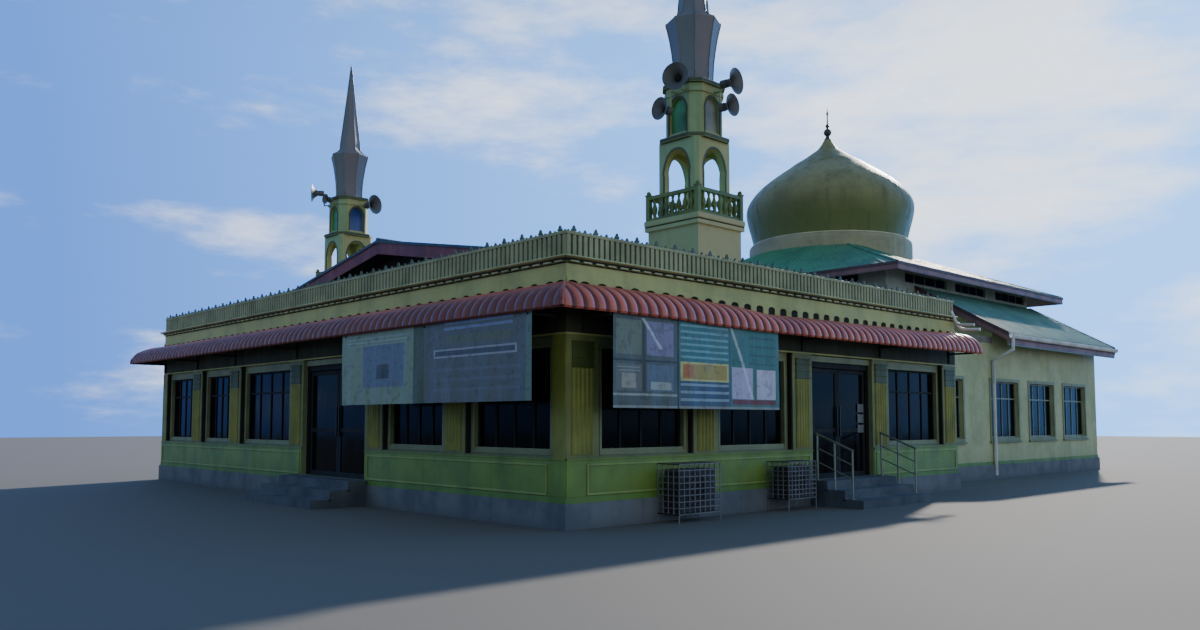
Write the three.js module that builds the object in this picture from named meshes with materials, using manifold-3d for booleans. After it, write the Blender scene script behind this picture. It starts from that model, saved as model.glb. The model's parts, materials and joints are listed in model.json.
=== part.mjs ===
// Small mosque building: front block with canopy and cresting, two roof minarets, prayer hall and dome.
// Millimetres, +Z up. The origin is on the ground under the building, on its long axis.
// +X runs from the entrance front to the rear, +Y to the left side as seen from the front.
import * as THREE from 'three';
import { mergeVertices } from 'three/addons/utils/BufferGeometryUtils.js';
import Module from 'manifold-3d';

const wasm = await Module();
wasm.setup();

// Driving dimensions: plan
const FRONT_X = -12500;
const BLOCK_DEPTH = 12250;
const HALF_WIDTH = 8500;
const HALL_END_X = 12500;
const HALL_HALF_WIDTH = 7200;
const COLUMN_DEPTH = 250;
const PANEL_RECESS = 100;
const PANEL_THICKNESS = 150;
const HALL_WALL = 200;
const RETURN_WALL = 200;
const SIDE_DOOR_BAY = 2;
const FRONT_DOOR_BAY = 2;

// Columns of the front block: start and end of each, from the corner beside the door side
const SIDE_COLUMNS = [[0, 650], [2840, 3490], [5680, 6330], [8520, 9170], [11600, 12250]];
const FRONT_COLUMNS = [[0, 300], [2545, 3195], [5210, 5860], [8470, 9120], [11740, 12390], [14160, 14810],
  [16700, 17000]];

// Driving dimensions: heights above the ground
const PLINTH_TOP = 390;
const FLOOR_TOP = 480;
const DADO_TOP = 1050;
const SILL_TOP = 1130;
const WINDOW_HEAD = 2730;
const BEAM_FOOT = 2900;
const DECK_FOOT = 3800;
const DECK_TOP = 3980;
const CORNICE_TOP = 4080;
const PICKET_TOP = 4460;

// Trim sizes
const PLINTH_LEDGE = 50;
const FLOOR_LEDGE = 20;
const WINDOW_BORDER = 150;
const PARAPET_THICKNESS = 250;
const CORNICE_LEDGE = 110;
const CREST_THICKNESS = 40;
const CREST_PITCH = 220;
const CREST_TIPS = [115, 70];
const CREST_TIP_HALF = 45;
const CREST_INSET = 20;
const CREST_ROOT = 10;
const SEAT_GAP = 0.3;
const FUSE = 1;
const GLASS = 12;
const GLASS_LAP = 40;

// Steps outside the doors and their handrails
const STEP_COUNT = 3;
const STEP_TREAD = 380;
const STEP_OVERLAP = 170;
const RAIL_SIZE = 40;
const RAIL_RISE = 900;
const RAIL_INSET = 80;

// Canopy: convex sheet from the head on the beam to its free edge
const CANOPY_HEAD = 3650;
const CANOPY_EDGE = 3180;
const CANOPY_REACH = 700;
const CANOPY_THICKNESS = 50;
const CANOPY_STEPS = 8;

// Doors
const DOOR_FRAME_WIDTH = 60;
const DOOR_FRAME_DEPTH = 150;
const LEAF_TOP = 2650;
const LEAF_THICKNESS = 45;
const LEAF_PANE = 14;
const LEAF_STILE = 90;
const LEAF_FLOOR_GAP = 12;
const LEAF_INSET = 160;
const PIVOT_FROM_EDGE = 25;
const PIVOT_FROM_JAMB = 40;
const PIVOT_RADIUS = 11;
const MEETING_GAP = 6;

// Prayer hall roofs
const RING_FOOT = 3600;
const RING_TOP = 4050;
const RING_WIDTH = 300;
const HALL_AXIS_X = 7650;
const CLERESTORY_FRONT_X = 2800;
const CLERESTORY_HALF_WIDTH = 5000;
const LEAN_TO_HEAD = 5630;
const LEAN_TO_EAVE_Z = 4050;
const LEAN_TO_EAVE_Y = 7750;
const LEAN_TO_THICKNESS = 120;
const LEAN_TO_FASCIA = 330;
const LEAN_TO_FRONT_X = 4500;
const LEAN_TO_REAR_X = 12750;
const GABLE_X = 4700;
const UPPER_EAVE_X = 5750;
const UPPER_EAVE_Y = 5900;
const UPPER_EAVE_Z = 5980;
const UPPER_TOP_Z = 7450;
const UPPER_SIDE_TOP_Z = 7050;
const UPPER_THICKNESS = 200;
const UPPER_FASCIA = 220;
const UPPER_FASCIA_LIP = 20;
const FASCIA_BOARD = 30;

const RING_COLUMN_Y = [1700, CLERESTORY_HALF_WIDTH - RING_WIDTH / 2];

// Clerestory: posts along its sides, and the windows of its ends by their middles
const CLERESTORY_POSTS = [[2800, 3900], [6500, 7060], [9200, 9950], [12300, 12500]];
const CLERESTORY_END_WINDOWS = [-3000, 0, 3000];
const CLERESTORY_END_WIDTH = 2200;
const CLERESTORY_SILL = 5720;
const CLERESTORY_HEAD = 6040;

// Prayer hall windows, by their middles
const HALL_WINDOW_WIDTH = 1800;
const HALL_SIDE_WINDOWS = [1900, 5400, 8000, 10600];
const HALL_REAR_WINDOWS = [-5200, -1750, 1750, 5200];

// Low maroon gable roof on the deck of the front block
const GABLE_ROOF_X = [-10750, -1500];
const GABLE_ROOF_HALF_WIDTH = 4700;
const GABLE_ROOF_RIDGE_Z = 5680;
const GABLE_ROOF_PITCH = 0.172;
const GABLE_ROOF_DEPTH = 270;
const GABLE_ROOF_OVERHANG = 450;
const GABLE_ROOF_WALL = 150;

// Drum and dome, radius and height pairs
const DRUM_RADIUS = 2870;
const DRUM_PROFILE = [[DRUM_RADIUS, 6850], [DRUM_RADIUS, 7820], [2840, 7900], [2740, 7950]];
const DRUM_THICKNESS = 200;
const DOME_PROFILE = [[2700, 7950], [2780, 8300], [2880, 8680], [2950, 9000], [2960, 9220], [2790, 9640],
  [2420, 10070], [1860, 10490], [1240, 10920], [580, 11350], [330, 11560], [90, 11900]];
const DOME_SHELL = 110;
const DOME_APEX_RISE = 60;
const DOME_UPRIGHT_POINTS = 6;
const DOME_SIDES = 32;
const FINIAL_SIDES = 12;
const FINIAL_PROFILE = [[0, 11900], [130, 11900], [70, 12000], [110, 12080], [130, 12170], [70, 12290],
  [28, 12330], [20, 13000], [0, 13120]];

// Minarets
const MINARETS = [{ word: 'right', x: -7800, y: -6950 }, { word: 'left', x: -8100, y: 6350 }];
const MINARET_BASE = 1280;
const MINARET_BASE_TOP = 5300;
const BALCONY_TOP = 5500;
const BALCONY_SIZE = 1380;
const BALUSTRADE_SIZE = 1350;
const BALUSTRADE_HEIGHT = 500;
const BALUSTRADE_POST = 90;
const BALUSTERS_PER_SIDE = 6;
const BALUSTER_WIDTH = 50;
const BALUSTER_TENON = 10;
const POST_CAP = 60;
const RAIL_WIDTH = 60;
const RAIL_HEIGHT = 70;
const ARCH_STAGE_SIZE = 1040;
const ARCH_STAGE_CHAMFER = 70;
const ARCH_STAGE_TOP = 7030;
const ARCH_ROOM = { half: 390, top: 6920 };
const ARCH_WIDTH = 620;
const ARCH_SPRING = 6360;
const ARCH_APEX = 6850;
const ARCH_FOOT = 5640;
const ARCH_BULGE = 1.08;
const ARCH_CURVE = { across: 0.85, up: 1.15 };
const ARCH_CORNICE_SIZE = 1180;
const ARCH_CORNICE_CHAMFER = 230;
const ARCH_CORNICE_TOP = 7110;
const LANTERN_SIZE = 950;
const LANTERN_CHAMFER = 180;
const LANTERN_TOP = 8120;
const LANTERN_CORNICE_SIZE = 1040;
const LANTERN_CORNICE_TOP = 8190;
const NICHE_WIDTH = 420;
const NICHE_DEPTH = 70;
const NICHE_FOOT = 7190;
const NICHE_SPRING = 7580;
const NICHE_APEX = 7880;
const SPIRE_PROFILE = [[385, LANTERN_CORNICE_TOP], [405, 8640], [520, 9330], [550, 9470], [310, 9650],
  [300, 9850], [0, 12300]];
const SPIRE_SIDES = 8;
const HORN_RADIUS = 245;
const HORN_LENGTH = 290;
const HORN_DRIVER = 100;
const HORN_DRIVER_RADIUS = 82;
const HORN_FLARE = [[0.23, 0], [0.32, 0.5], [0.55, 0.8], [1, 1]];
const HORN_THROAT_DEPTH = 0.42;
const HORN_WALL = 12;
const HORN_SEAT = 12;
const HORN_SIDES = 12;
const BAND_FOOT = 7940;
const BAND_TOP = 8020;
const BAND_THICKNESS = 25;
const BAND_CLEAR = 5;
const ARM_REACH = 150;
const ARM_ROOT = 10;
const ARM_WIDTH = 50;
const HORNS = {
  right: [{ heading: 201, height: 8100, size: 1.08 }, { heading: 176, height: 7580, size: 0.9 },
    { heading: -82, height: 8110, size: 1.05 }, { heading: -86, height: 7640, size: 0.9 }],
  left: [{ heading: 150, height: 8340, size: 1.1 }, { heading: 190, height: 8060, size: 0.6 },
    { heading: -72, height: 7940, size: 1.15 }],
};

// Condenser cages, measured from the front corner along the right wall
const CAGE_BAR = 22;
const CAGES = [{ name: 'condenser_cage_front', from: 1900, to: 2920, foot: 130, top: 930 },
  { name: 'condenser_cage_rear', from: 4800, to: 5660, foot: 210, top: 880 }];
const CAGE_NEAR = 90;
const CAGE_FAR = 520;
const CAGE_UNIT_GAPS = { sides: 60, ends: 90 };
const CAGE_TRAY_GAP = 5;

// Banners hung under the canopies: start, end, foot and head
const BANNER_THICKNESS = 8;
const SIDE_BANNER = { from: 380, to: 4420, foot: 1800, head: 3240 };
const FRONT_BANNER = { from: 50, to: 5660, foot: 1900, head: 3240 };

// Interior structure
const FRAME_POSITIONS = [-7800, -3700, -350];
const FRAME_SIZE = 350;
const FRAME_BEAM_FOOT = 3450;
const FRAME_COLUMN_Y = [2400, 6950];

const group = new THREE.Group();

const paint = (color, roughness = 0.7, metalness = 0) =>
  new THREE.MeshStandardMaterial({ color, roughness, metalness });

const materials = {
  plinth: paint(0x7d8797, 0.9),
  floor: paint(0x8f9488, 0.6),
  column: paint(0x8d9048),
  fascia: paint(0xa8b06a),
  canopy: paint(0x96383f, 0.5),
  deck: paint(0x9a9a94, 0.9),
  maroon: paint(0x6e2a35, 0.6),
  hall: paint(0xb9bd8c),
  teal: paint(0x2f7f80, 0.5),
  drum: paint(0xe6dcb4),
  dome: paint(0xd8cf9c, 0.45),
  gold: paint(0xb89b4a, 0.35, 0.8),
  minaret: paint(0xb5bd7e),
  green: paint(0x6f9350),
  spire: paint(0x71859b, 0.4, 0.5),
  horn: paint(0x8f9492, 0.5),
  glass: new THREE.MeshStandardMaterial({ color: 0x10161d, roughness: 0.1, transparent: true, opacity: 0.6 }),
  frame: paint(0x9da393, 0.5),
  steel: paint(0xb8bcc0, 0.3, 0.9),
  cage: paint(0xc4c6bd, 0.5, 0.3),
  banner: paint(0x2e7d78, 0.5),
  door: paint(0x1b2026, 0.25),
};

function add(name, geometry, material) {
  const mesh = new THREE.Mesh(geometry, materials[material]);
  mesh.name = name;
  group.add(mesh);
  return mesh;
}

// Boolean helpers
function toSolid(geometry) {
  let plain = geometry.clone();
  plain.deleteAttribute('normal');
  plain.deleteAttribute('uv');
  plain = mergeVertices(plain, 0.001);
  const mesh = new wasm.Mesh({
    numProp: 3,
    vertProperties: new Float32Array(plain.attributes.position.array),
    triVerts: new Uint32Array(plain.index.array),
  });
  return new wasm.Manifold(mesh);
}

function toGeometry(solid) {
  const mesh = solid.getMesh();
  const geometry = new THREE.BufferGeometry();
  geometry.setAttribute('position', new THREE.BufferAttribute(new Float32Array(mesh.vertProperties), 3));
  geometry.setIndex(new THREE.BufferAttribute(new Uint32Array(mesh.triVerts), 1));
  return geometry;
}

const join = (pieces) => toGeometry(pieces.map(toSolid).reduce((sum, next) => sum.add(next)));

const cut = (body, tools) =>
  toGeometry(tools.map(toSolid).reduce((rest, next) => rest.subtract(next), toSolid(body)));

// Shape helpers
function box(x0, x1, y0, y1, z0, z1) {
  const geometry = new THREE.BoxGeometry(Math.abs(x1 - x0), Math.abs(y1 - y0), z1 - z0);
  return geometry.translate((x0 + x1) / 2, (y0 + y1) / 2, (z0 + z1) / 2);
}

function outline(points) {
  return new THREE.Shape(points.map(([u, v]) => new THREE.Vector2(u, v)));
}

const extrude = (shape, depth) =>
  new THREE.ExtrudeGeometry(shape, { depth, bevelEnabled: false, curveSegments: 8 });

// Plan outline (x, y) raised from z0 to z1
const slab = (points, z0, z1) => extrude(outline(points), z1 - z0).translate(0, 0, z0);

// Elevation outline (x, z) extruded across y0 to y1
const alongY = (shape, y0, y1) => extrude(shape, y1 - y0).rotateX(Math.PI / 2).translate(0, y1, 0);

// Elevation outline (y, z) extruded across x0 to x1
function alongX(shape, x0, x1) {
  const turn = new THREE.Matrix4().makeBasis(
    new THREE.Vector3(0, 1, 0), new THREE.Vector3(0, 0, 1), new THREE.Vector3(1, 0, 0));
  return extrude(shape, x1 - x0).applyMatrix4(turn).translate(x0, 0, 0);
}

// Closed skin through a list of equal sections, with flat end caps or joined end to end
function loft(sections, closed = false) {
  const count = sections[0].length;
  const positions = sections.flat(2);
  const faces = [];
  const rows = closed ? sections.length : sections.length - 1;
  for (let row = 0; row < rows; row += 1) {
    const next = (row + 1) % sections.length;
    for (let i = 0; i < count; i += 1) {
      const j = (i + 1) % count;
      const [a, b] = [row * count + i, row * count + j];
      const [c, d] = [next * count + j, next * count + i];
      faces.push(a, b, c, a, c, d);
    }
  }
  if (!closed) {
    const cap = capTriangles(sections[0]);
    const last = (sections.length - 1) * count;
    cap.forEach(([a, b, c]) => faces.push(c, b, a, last + a, last + b, last + c));
  }
  return orient(positions, faces);
}

function capTriangles(section) {
  const [o, ...rest] = section.map((p) => new THREE.Vector3(...p));
  const normal = new THREE.Vector3();
  rest.slice(0, -1).forEach((p, i) => {
    normal.add(new THREE.Vector3().crossVectors(p.clone().sub(o), rest[i + 1].clone().sub(o)));
  });
  const w = normal.normalize();
  const u = rest[0].clone().sub(o).normalize();
  const v = new THREE.Vector3().crossVectors(w, u);
  const flat = [o, ...rest].map((p) => new THREE.Vector2(p.dot(u), p.dot(v)));
  return THREE.ShapeUtils.triangulateShape(flat, []);
}

function orient(positions, faces) {
  const at = (i) => new THREE.Vector3(positions[3 * i], positions[3 * i + 1], positions[3 * i + 2]);
  let volume = 0;
  for (let i = 0; i < faces.length; i += 3) {
    volume += at(faces[i]).dot(at(faces[i + 1]).cross(at(faces[i + 2])));
  }
  if (volume < 0) faces.reverse();
  const geometry = new THREE.BufferGeometry();
  geometry.setAttribute('position', new THREE.BufferAttribute(new Float32Array(positions), 3));
  geometry.setIndex(faces);
  return geometry;
}

const rectangle = (cx, hx, hy, z) =>
  [[cx - hx, -hy, z], [cx + hx, -hy, z], [cx + hx, hy, z], [cx - hx, hy, z]];

function lathe(profile, sides, turn = 0) {
  const points = profile.map(([r, z]) => new THREE.Vector2(r, z));
  return new THREE.LatheGeometry(points, sides, turn).rotateX(Math.PI / 2);
}

// Outline of a pointed arch that bulges past its jambs, from its foot, spring and apex heights
function pointedArch(width, foot, spring, apex, steps = 5) {
  const half = width / 2;
  const right = [[half, foot], [half, spring]];
  for (let i = 1; i < steps; i += 1) {
    const t = i / steps * Math.PI / 2;
    right.push([half * ARCH_BULGE * Math.cos(t) ** ARCH_CURVE.across,
      spring + (apex - spring) * Math.sin(t) ** ARCH_CURVE.up]);
  }
  const left = right.map(([u, z]) => [-u, z]).reverse();
  return outline([...right, [0, apex], ...left]);
}

// Base of the building
function addBase() {
  const rear = FRONT_X + BLOCK_DEPTH;
  const plan = (ledge) => [
    [FRONT_X - ledge, -HALF_WIDTH - ledge], [rear + ledge, -HALF_WIDTH - ledge],
    [rear + ledge, -HALL_HALF_WIDTH - ledge], [HALL_END_X + ledge, -HALL_HALF_WIDTH - ledge],
    [HALL_END_X + ledge, HALL_HALF_WIDTH + ledge], [rear + ledge, HALL_HALF_WIDTH + ledge],
    [rear + ledge, HALF_WIDTH + ledge], [FRONT_X - ledge, HALF_WIDTH + ledge]];
  add('plinth', slab(plan(PLINTH_LEDGE), 0, PLINTH_TOP), 'plinth');
  add('floor_slab', slab(plan(FLOOR_LEDGE), PLINTH_TOP, FLOOR_TOP), 'floor');
}

// Steps outside a door, as a stair profile: reach outwards and height
function stepProfile() {
  const points = [[PLINTH_LEDGE, 0]];
  for (let i = 0; i < STEP_COUNT; i += 1) {
    const out = PLINTH_LEDGE + (STEP_COUNT - i) * STEP_TREAD;
    points.push([out, i * FLOOR_TOP / STEP_COUNT], [out, (i + 1) * FLOOR_TOP / STEP_COUNT]);
  }
  points.push([PLINTH_LEDGE, FLOOR_TOP]);
  return points;
}

function addSteps() {
  const [a, b] = sideOpening(SIDE_DOOR_BAY);
  const side = outline(stepProfile().map(([out, z]) => [-HALF_WIDTH - out, z]));
  add('side_steps', alongX(side, a - STEP_OVERLAP, b + STEP_OVERLAP), 'plinth');
  const [c, d] = frontOpening(FRONT_DOOR_BAY);
  const front = outline(stepProfile().map(([out, z]) => [FRONT_X - out, z]));
  add('front_steps', alongY(front, c - STEP_OVERLAP, d + STEP_OVERLAP), 'plinth');
}

function addHandrails() {
  const [a, b] = sideOpening(SIDE_DOOR_BAY);
  const top = { y: -HALF_WIDTH - PLINTH_LEDGE - RAIL_INSET, z: FLOOR_TOP };
  const low = { y: top.y - 2 * STEP_TREAD, z: FLOOR_TOP / STEP_COUNT };
  const rail = outline([[top.y, top.z + RAIL_RISE - RAIL_SIZE], [top.y, top.z + RAIL_RISE],
    [low.y - RAIL_SIZE, low.z + RAIL_RISE], [low.y - RAIL_SIZE, low.z + RAIL_RISE - RAIL_SIZE]]);
  const edges = { side_handrail_front: a - STEP_OVERLAP + RAIL_INSET,
    side_handrail_rear: b + STEP_OVERLAP - RAIL_INSET - RAIL_SIZE };
  for (const [name, x] of Object.entries(edges)) {
    const post = ({ y, z }) => box(x, x + RAIL_SIZE, y - RAIL_SIZE, y, z, z + RAIL_RISE - RAIL_SIZE / 2);
    add(name, join([post(top), post(low), alongX(rail, x, x + RAIL_SIZE)]), 'steel');
  }
}

// Clear bays between the columns of the two street facades
const sideOpening = (bay) => [FRONT_X + SIDE_COLUMNS[bay][1], FRONT_X + SIDE_COLUMNS[bay + 1][0]];

const frontOpening = (bay) => [-HALF_WIDTH + FRONT_COLUMNS[bay][1], -HALF_WIDTH + FRONT_COLUMNS[bay + 1][0]];

// Posts and panels of a facade: place(u0, u1, d0, d1, z0, z1) makes a box from along, depth and height
function facade(place, from, columns, bays) {
  const back = PANEL_RECESS + PANEL_THICKNESS;
  const posts = columns.map(([a, b]) => place(Math.max(a, from), b, 0, COLUMN_DEPTH, FLOOR_TOP, BEAM_FOOT));
  const panels = bays.map(([a, b]) => cut(join([
    place(a, b, PANEL_RECESS, back, FLOOR_TOP, BEAM_FOOT),
    place(a, b, 0, back, FLOOR_TOP, DADO_TOP),
  ]), [place(a + WINDOW_BORDER, b - WINDOW_BORDER, 0, 2 * back, SILL_TOP, WINDOW_HEAD)]));
  return [...posts, ...panels];
}

// side is -1 on the right, +1 on the left
function sideWall(side, from, columns, bays) {
  const place = (u0, u1, d0, d1, z0, z1) =>
    box(u0, u1, side * (HALF_WIDTH - d0), side * (HALF_WIDTH - d1), z0, z1);
  const posts = columns.map((i) => SIDE_COLUMNS[i].map((u) => FRONT_X + u));
  return facade(place, from, posts, bays.map(sideOpening));
}

function frontWall(from, columns, bays) {
  const place = (u0, u1, d0, d1, z0, z1) => box(FRONT_X + d0, FRONT_X + d1, u0, u1, z0, z1);
  const posts = columns.map((i) => FRONT_COLUMNS[i].map((u) => u - HALF_WIDTH));
  return facade(place, from, posts, bays.map(frontOpening));
}

function returnWall(side) {
  const rear = FRONT_X + BLOCK_DEPTH;
  return box(rear - RETURN_WALL, rear, side * (HALF_WIDTH - COLUMN_DEPTH), side * HALL_HALF_WIDTH,
    FLOOR_TOP, BEAM_FOOT);
}

function addFrontBlockWalls() {
  const corner = FRONT_X + COLUMN_DEPTH;
  add('right_wall_front', join(sideWall(-1, corner, [0, 1, 2], [0, 1])), 'column');
  add('right_wall_rear', join([...sideWall(-1, corner, [3, 4], [3]), returnWall(-1)]), 'column');
  const left = sideWall(1, corner, [0, 1, 2, 3, 4], [0, 1, 2, 3]);
  add('left_wall', join([...left, returnWall(1)]), 'column');
  add('front_wall_right', join(frontWall(-HALF_WIDTH, [0, 1, 2], [0, 1])), 'column');
  add('front_wall_left', join(frontWall(-HALF_WIDTH, [3, 4, 5, 6], [3, 4, 5])), 'column');
}

// Glass: one sheet against the inside of the walls that share a corner
function addGlass() {
  const inner = PANEL_RECESS + PANEL_THICKNESS;
  const [foot, head] = [SILL_TOP - GLASS_LAP, WINDOW_HEAD + GLASS_LAP];
  const sheet = (name, points) => add(name, slab(points, foot, head), 'glass');
  const cornerSheet = (side, endX, endY) => {
    const [x, y] = [FRONT_X + inner, side * (HALF_WIDTH - inner)];
    const points = [[x, y], [endX, y], [endX, y - side * GLASS], [x + GLASS, y - side * GLASS],
      [x + GLASS, endY], [x, endY]];
    return side < 0 ? points : points.reverse();
  };
  const blockRear = FRONT_X + BLOCK_DEPTH - RETURN_WALL;
  sheet('glass_front_right', cornerSheet(-1, sideOpening(1)[1] + GLASS_LAP, frontOpening(1)[1] + GLASS_LAP));
  sheet('glass_front_left', cornerSheet(1, blockRear, frontOpening(3)[0] - GLASS_LAP));
  const y = -HALF_WIDTH + inner;
  const x = sideOpening(3)[0] - GLASS_LAP;
  sheet('glass_right_rear', [[x, y], [blockRear, y], [blockRear, y + GLASS], [x, y + GLASS]]);
  const hallY = HALL_HALF_WIDTH - HALL_WALL;
  const [hx0, hx1] = [HALL_SIDE_WINDOWS[0] - HALL_WINDOW_WIDTH / 2 - GLASS_LAP, HALL_END_X - HALL_WALL];
  sheet('glass_hall', [[hx0, -hallY], [hx1, -hallY], [hx1, hallY], [hx0, hallY], [hx0, hallY - GLASS],
    [hx1 - GLASS, hallY - GLASS], [hx1 - GLASS, -hallY + GLASS], [hx0, -hallY + GLASS]]);
}

// Parapet section: ring beam with a cornice, and the pointed cresting standing on it
function crestOutline(from, to) {
  const count = Math.round((to - from) / CREST_PITCH);
  const pitch = (to - from) / count;
  const points = [[from, CORNICE_TOP - CREST_ROOT], [to, CORNICE_TOP - CREST_ROOT], [to, PICKET_TOP]];
  for (let i = count - 1; i >= 0; i -= 1) {
    const mid = from + (i + 0.5) * pitch;
    points.push([mid + CREST_TIP_HALF, PICKET_TOP], [mid, PICKET_TOP + CREST_TIPS[i % CREST_TIPS.length]],
      [mid - CREST_TIP_HALF, PICKET_TOP]);
  }
  points.push([from, PICKET_TOP]);
  return outline(points);
}

function addParapets() {
  const rear = FRONT_X + BLOCK_DEPTH;
  const crestBack = CREST_INSET + CREST_THICKNESS;
  for (const [side, name] of [[-1, 'parapet_right'], [1, 'parapet_left']]) {
    const face = (depth) => side * (HALF_WIDTH - depth);
    const start = FRONT_X + PARAPET_THICKNESS;
    const crestSpan = [face(CREST_INSET), face(crestBack)].sort((a, b) => a - b);
    add(name, join([
      box(start, rear, face(0), face(PARAPET_THICKNESS), BEAM_FOOT, CORNICE_TOP),
      box(start, rear, face(-CORNICE_LEDGE), face(CREST_INSET), DECK_TOP, CORNICE_TOP),
      box(rear - RETURN_WALL, rear, face(PARAPET_THICKNESS), side * HALL_HALF_WIDTH, BEAM_FOOT, CORNICE_TOP),
      alongY(crestOutline(start, rear), ...crestSpan),
    ]), 'fascia');
  }
  const half = HALF_WIDTH;
  add('parapet_front', join([
    box(FRONT_X, FRONT_X + PARAPET_THICKNESS, -half, half, BEAM_FOOT, CORNICE_TOP),
    box(FRONT_X - CORNICE_LEDGE, FRONT_X + PARAPET_THICKNESS, -half - CORNICE_LEDGE, half + CORNICE_LEDGE,
      DECK_TOP, CORNICE_TOP),
    alongX(crestOutline(-half + CREST_INSET, half - CREST_INSET), FRONT_X + CREST_INSET, FRONT_X + crestBack),
  ]), 'fascia');
}

// Canopy section: reach outwards and height, from the head down to the free edge and back
function canopySection() {
  const top = [];
  for (let i = 0; i <= CANOPY_STEPS; i += 1) {
    const t = i / CANOPY_STEPS * Math.PI / 2;
    top.push([CANOPY_REACH * Math.sin(t), CANOPY_EDGE + (CANOPY_HEAD - CANOPY_EDGE) * Math.cos(t)]);
  }
  const inner = top.map(([out, z]) => {
    const t = out / CANOPY_REACH;
    return [out - CANOPY_THICKNESS * t, z - CANOPY_THICKNESS * (1 - t)];
  }).reverse();
  return [...top, ...inner];
}

function addCanopies() {
  const section = canopySection();
  const rear = FRONT_X + BLOCK_DEPTH;
  const gap = 2 * SEAT_GAP;
  for (const [side, name] of [[-1, 'canopy_right'], [1, 'canopy_left']]) {
    add(name, loft([
      section.map(([out, z]) => [FRONT_X - out + gap, side * (HALF_WIDTH + out), z]),
      section.map(([out, z]) => [rear, side * (HALF_WIDTH + out), z]),
    ]), 'canopy');
  }
  add('canopy_front', loft([
    section.map(([out, z]) => [FRONT_X - out, -HALF_WIDTH - out, z]),
    section.map(([out, z]) => [FRONT_X - out, HALF_WIDTH + out, z]),
  ]), 'canopy');
}

// Doors: a face places an elevation outline at a depth behind its facade
const sideFace = {
  raise: (shape, d0, d1) => alongY(shape, -HALF_WIDTH + d0, -HALF_WIDTH + d1),
  point: (u, depth) => [u, -HALF_WIDTH + depth],
};
const frontFace = {
  raise: (shape, d0, d1) => alongX(shape, FRONT_X + d0, FRONT_X + d1),
  point: (u, depth) => [FRONT_X + depth, u],
};

const rectangleOutline = (left, right, foot, head) =>
  outline([[left, foot], [right, foot], [right, head], [left, head]]);

function addLeaf(name, face, pivot, left, right) {
  const foot = FLOOR_TOP + LEAF_FLOOR_GAP;
  const near = LEAF_INSET - LEAF_THICKNESS / 2;
  const stiles = rectangleOutline(left, right, foot, LEAF_TOP);
  const [l, r, low, high] = [left + LEAF_STILE, right - LEAF_STILE, foot + LEAF_STILE, LEAF_TOP - LEAF_STILE];
  stiles.holes.push(new THREE.Path([[l, low], [l, high], [r, high], [r, low]]
    .map(([u, v]) => new THREE.Vector2(u, v))));
  const lap = LEAF_STILE - 20;
  const pane = rectangleOutline(left + lap, right - lap, foot + lap, LEAF_TOP - lap);
  const head = LEAF_TOP + LEAF_FLOOR_GAP;
  const pin = upright(...face.point(pivot, LEAF_INSET), PIVOT_RADIUS, FLOOR_TOP + SEAT_GAP, head - SEAT_GAP);
  add(name, join([face.raise(stiles, near, near + LEAF_THICKNESS),
    face.raise(pane, LEAF_INSET - LEAF_PANE / 2, LEAF_INSET + LEAF_PANE / 2), pin]), 'door');
}

function upright(x, y, radius, z0, z1, sides = 12) {
  return new THREE.CylinderGeometry(radius, radius, z1 - z0, sides).rotateX(Math.PI / 2)
    .translate(x, y, (z0 + z1) / 2);
}

function addDoor(label, face, from, to) {
  const inner = PANEL_RECESS + PANEL_THICKNESS;
  const [left, right] = [from + DOOR_FRAME_WIDTH, to - DOOR_FRAME_WIDTH];
  const head = LEAF_TOP + LEAF_FLOOR_GAP;
  const frame = outline([[from, FLOOR_TOP], [left, FLOOR_TOP], [left, head], [right, head],
    [right, FLOOR_TOP], [to, FLOOR_TOP], [to, BEAM_FOOT], [from, BEAM_FOOT]]);
  add(`${label}_door_frame`, face.raise(frame, inner - DOOR_FRAME_DEPTH, inner), 'frame');
  const mid = (from + to) / 2;
  const edge = PIVOT_FROM_JAMB - PIVOT_FROM_EDGE;
  addLeaf(`${label}_door_leaf_a`, face, left + PIVOT_FROM_JAMB, left + edge, mid - MEETING_GAP / 2);
  addLeaf(`${label}_door_leaf_b`, face, right - PIVOT_FROM_JAMB, mid + MEETING_GAP / 2, right - edge);
}

function addDoors() {
  addDoor('side', sideFace, ...sideOpening(SIDE_DOOR_BAY));
  addDoor('front', frontFace, ...frontOpening(FRONT_DOOR_BAY));
}

// Interior structure: cross frames under the deck of the front block
function addCrossFrames() {
  const ends = [HALF_WIDTH - COLUMN_DEPTH, HALF_WIDTH - COLUMN_DEPTH, HALL_HALF_WIDTH - HALL_WALL];
  FRAME_POSITIONS.forEach((x, i) => {
    const [x0, x1] = [x - FRAME_SIZE / 2, x + FRAME_SIZE / 2];
    const columns = FRAME_COLUMN_Y.flatMap((y) => [-y, y]).map((y) => {
      const outer = Math.min(Math.abs(y) + FRAME_SIZE / 2, ends[i]) * Math.sign(y);
      return box(x0, x1, y - Math.sign(y) * FRAME_SIZE / 2, outer, FLOOR_TOP, FRAME_BEAM_FOOT + FUSE);
    });
    const beam = box(x0, x1, -ends[i], ends[i], FRAME_BEAM_FOOT, DECK_FOOT);
    add(`cross_frame_${i + 1}`, join([beam, ...columns]), 'deck');
  });
}

function addDeck() {
  const inner = HALF_WIDTH - PARAPET_THICKNESS;
  const rear = FRONT_X + BLOCK_DEPTH;
  const returnInner = rear - RETURN_WALL;
  const right = [[FRONT_X + PARAPET_THICKNESS, -inner], [returnInner, -inner],
    [returnInner, -HALL_HALF_WIDTH], [GABLE_X, -HALL_HALF_WIDTH],
    [GABLE_X, -CLERESTORY_HALF_WIDTH], [CLERESTORY_FRONT_X, -CLERESTORY_HALF_WIDTH]];
  const left = right.map(([x, y]) => [x, -y]).reverse();
  add('roof_deck', slab([...right, ...left], DECK_FOOT, DECK_TOP), 'deck');
}

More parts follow.
